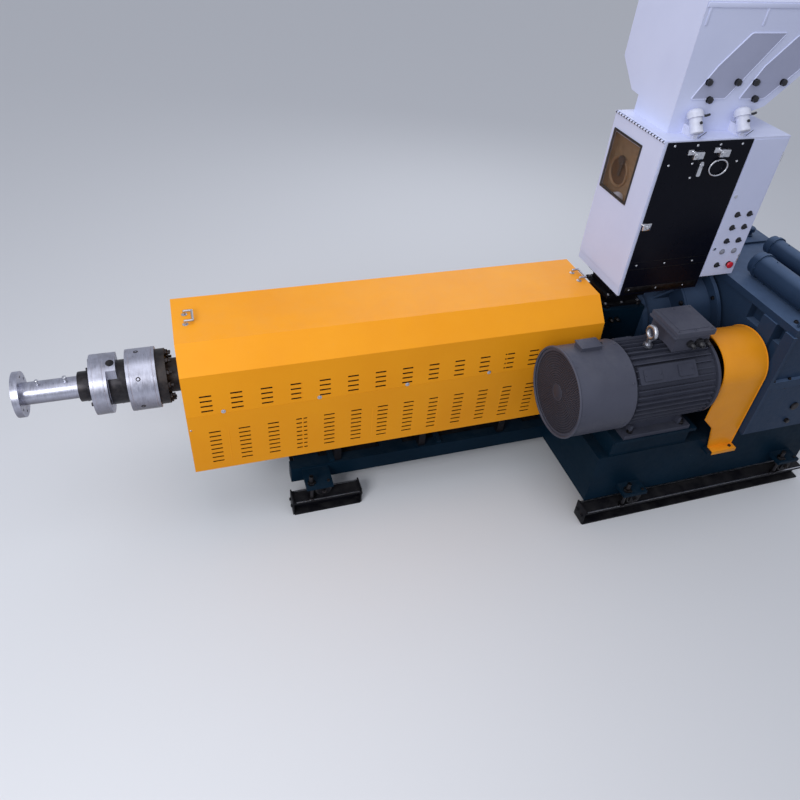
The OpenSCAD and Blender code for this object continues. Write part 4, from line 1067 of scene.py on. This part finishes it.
def makeMixer():
    bm = newPiece("mixingPaddles", "stainless", "stainless")
    z = mixer["z"]
    x, long, r = mixer["shaft"]
    turn(bm, (x, 0, z), back, [(0, r), (long, r)], 20)
    for k, x in enumerate(mixer["paddles"]):
        for opposite in (0, 180):
            out, side = spoke(mixer["firstPaddle"] + mixer["paddleTurn"] * k + opposite)
            middle = Vector((x, 0, z))
            bend(bm, [middle + out * 14, middle + out * 118], 6, 8)
            side.x = 0.5
            low, high = middle + out * 96, middle + out * 136
            slab(bm, [low - side * 22, low + side * 22, high + side * 18, high - side * 18], back, 5)
    x, r = mixer["mouth"]
    turn(bm, (x, 0, z), back, [(0, r - 6.5), (0.4, r), (11.6, r), (12, r - 6.5)], 64)
    bm = newPiece("weighPan", "panTan", "stainless")  # weigh pan's front plate and its walls, behind the pane
    x, left = mixer["pan"], feeder["left"]
    (y0, low), (y1, high) = mixer["panLow"], mixer["panHigh"]
    slab(bm, rounded([(x, y0, low), (x, y1, low), (x, y1, high), (x, y0, high)], 10), back, 3)
    block(bm, (left + 8, y1 - 3, low), (x, y1, high), 0.8)
    block(bm, (left + 12, y0, low - 3), (x, y1, low), 0.8)
    bm = newPiece("panHollow", "panRim", "stainless")  # round hollow with a raised rim
    hollow = [(0, 82), (12, 82), (14, 80), (14, 74), (12, 73), (4, 68)]
    turn(bm, (x + 1, *mixer["hollow"]), front, hollow, 48)
    # the hollow's dark floor is painted shade
    bm = newPiece("hollowFloor", "panShadeBrown", "stainless")
    turn(bm, (x - 3, *mixer["hollow"]), front, [(0, 68), (1.2, 68), (1.3, 20)], 40)
    bm = newPiece("panKnob", "blackPlastic", "wheel_black")  # dark knob on its arm
    y, z = mixer["knob"]
    turn(bm, (x - 1, y, z), front, [(0, 10), (10, 10), (12, 22), (18, 26), (26, 24), (30, 14)], 28)
    arm = [(x - 10, y - 12, z - 10), (x - 10, y + 8, z - 10), (x - 10, y + 20, z - 86), (x - 10, y, z - 86)]
    slab(bm, arm, front, 6)
    bm = newPiece("granules", "whitePlastic", "white_plastic")  # loose granules on the ledge
    turn(bm, (*mixer["heap"], low), up, [(0, 36), (10, 34), (22, 24), (30, 10), (32, 0)], 24)


controls = {"y": -217, "columns": (2884, 2962), "rows": (1595, 1520, 1441, 1377, 1295), "lampRow": 3,
            "stop": (4, 1), "door": (2807, 3009, 1240, 1993), "hinges": (1330, 1900), "locks": (1700, 1400)}


def makeControls():
    y = controls["y"]
    buttons = newPiece("panelButtons", "blackPlastic", "wheel_black")
    lamps = newPiece("panelLamps", "greyPlastic", "white_plastic")
    stop = newPiece("stopButton", "redPlastic", "white_plastic")
    for row, z in enumerate(controls["rows"]):
        isLamp = row == controls["lampRow"]
        for column, x in enumerate(controls["columns"]):
            base = (x, y - 3, z)
            collar = [(0, 17), (2.5, 17), (4.5, 15), (4.6, 12.6)]
            turn(lamps if isLamp else buttons, (x, y, z), near, collar, 28)
            if (row, column) == controls["stop"]:
                turn(stop, base, near, [(0, 11), (10, 11), (11, 19), (16, 20), (20, 17), (22, 8)], 28)
            elif isLamp:
                turn(lamps, base, near, [(0, 12), (5, 12), (8, 9), (9, 4)], 24)
            else:
                turn(buttons, base, near, [(0, 12), (7, 12), (8, 11)], 24)
                block(buttons, (x - 13, y - 15, z - 4), (x + 13, y - 9, z + 4), 1.5)
    bm = newPiece("controlDoor", "white", "white_paint")
    left, right, low, high = controls["door"]
    outline = [(left, y, low), (right, y, low), (right, y, high), (left, y, high)]
    slab(bm, rounded(outline, 4, 2), near, 2)
    bm = newPiece("controlHinges", "bright", "zinc_steel")
    for z in controls["hinges"]:
        turn(bm, (right + 2, y - 3, z - 26), up, [(0, 4.4), (52, 4.4)], 14)
    for z in controls["locks"]:
        turn(bm, (left + 18, y - 2, z), near, [(0, 9), (3, 9), (4, 8), (4, 3)], 20)


bins = {"y": -112,
        "covers": (((2440, 2158), (2631, 2156), (2744, 2302), (2850, 2440), (2659, 2440), (2529, 2299)),
                   ((2716, 2153), (2860, 2150), (3001, 2276), (3090, 2366), (3090, 2420), (2925, 2430),
                    (2794, 2296))),
        "knobs": ((2504, 2235), (2668, 2232), (2773, 2230), (2935, 2227), (2540, 2155), (2802, 2154)),
        "posts": (2392, 2700, 3100), "rail": (2372, 3140)}


def makeBinTrim():
    y = bins["y"]
    # the cover plates are real; their darker grey is painted shade of the recessed sloped panels
    bm = newPiece("binCovers", "shadedCoverGrey", "white_paint")
    for cover in bins["covers"]:
        slab(bm, rounded([(x, y, z) for x, z in cover], 10, 3), near, 2.5)
    bm = newPiece("binRims", "white", "white_paint")
    for cover in bins["covers"]:
        bend(bm, rounded([(x, y - 1, z) for x, z in cover], 10, 3), 3.4, 6, True)
    for x in bins["posts"]:
        block(bm, (x - 6, y - 3, 2470), (x + 6, y + 1, 2555), 1)
    x0, x1 = bins["rail"]
    block(bm, (x0, y - 4, 2540), (x1, y + 1, 2560), 1.5)
    bm = newPiece("coverKnobs", "blackPlastic", "wheel_black")
    for x, z in bins["knobs"]:
        turn(bm, (x, y - 2, z), near, [(0, 9), (5, 9), (6, 15), (9, 16), (18, 16), (20, 13)], 6, 0.3)
        turn(bm, (x, y - 2, z), near, [(0, 16), (2.5, 16)], 20)


valves = {"xs": (2460, 2729), "foot": (-201, 2031), "tilt": 35}


def makeValveTrim():
    caps = newPiece("valveCaps", "whitePlastic", "white_plastic")
    fittings = newPiece("valveFittings", "blackPlastic", "wheel_black")
    lift = spoke(90 - valves["tilt"])[0]
    for x in valves["xs"]:
        foot = Vector((x, *valves["foot"]))
        turn(caps, foot, lift, [(-6, 20), (-5, 26), (0, 31.5), (10, 31.5), (12, 30.5)], 32)
        turn(caps, foot + lift * 88, lift, [(0, 37), (8, 36), (16, 30), (22, 18), (24, 0)], 32)
        elbow = ((79, (36, 0, 0)), (79, (64, 0, 0)), (82, (84, 4, 0)))
        bend(fittings, [foot + lift * rise + Vector(out) for rise, out in elbow], 6, 10)
        turn(fittings, foot + lift * 40 + Vector((0, -29, 18)), (0, -0.8, 0.57), [(0, 7), (5, 7), (6, 4)], 16)
        strip = [foot + Vector(c) for c in ((-8, -31, -12), (26, -31, 14), (26, -33, 20), (-8, -33, -6))]
        slab(fittings, rounded(strip, 2, 2), near, 1.5)


neck = {"x": 2430, "grid": (-104, 0, 104), "flanges": ((1036, up), (1096, up), (1149, down))}


def makeNeckBolts():
    bm = newPiece("neckBolts", "zinc", "zinc_steel")
    for z, way in neck["flanges"]:
        for dx in neck["grid"]:
            for y in (-104, 104):
                hexBolt(bm, (neck["x"] + dx, y, z), way, 8)


makeHoodTrim()
makeDieEnd()
makeBandClamps()
print("hood and die end trimmed")
makeWheelTrim()
makeBeamSheets()
makeWelds()
print("running gear trimmed")
makeCowl()
makeFanGrille()
makeMotorTrim()
makeTerminalTrim()
makeGuardTrim()
print("motor trimmed")
makeGearboxTrim()
makeLanternTrim()
makeOilVessels()
print("gearbox trimmed")
makeFeederPanel()
makeDoorTrim()
makeMixer()
makeControls()
makeBinTrim()
makeValveTrim()
makeNeckBolts()
print("feeder trimmed")
buildPieces()
print("pieces built:", len(pieces))
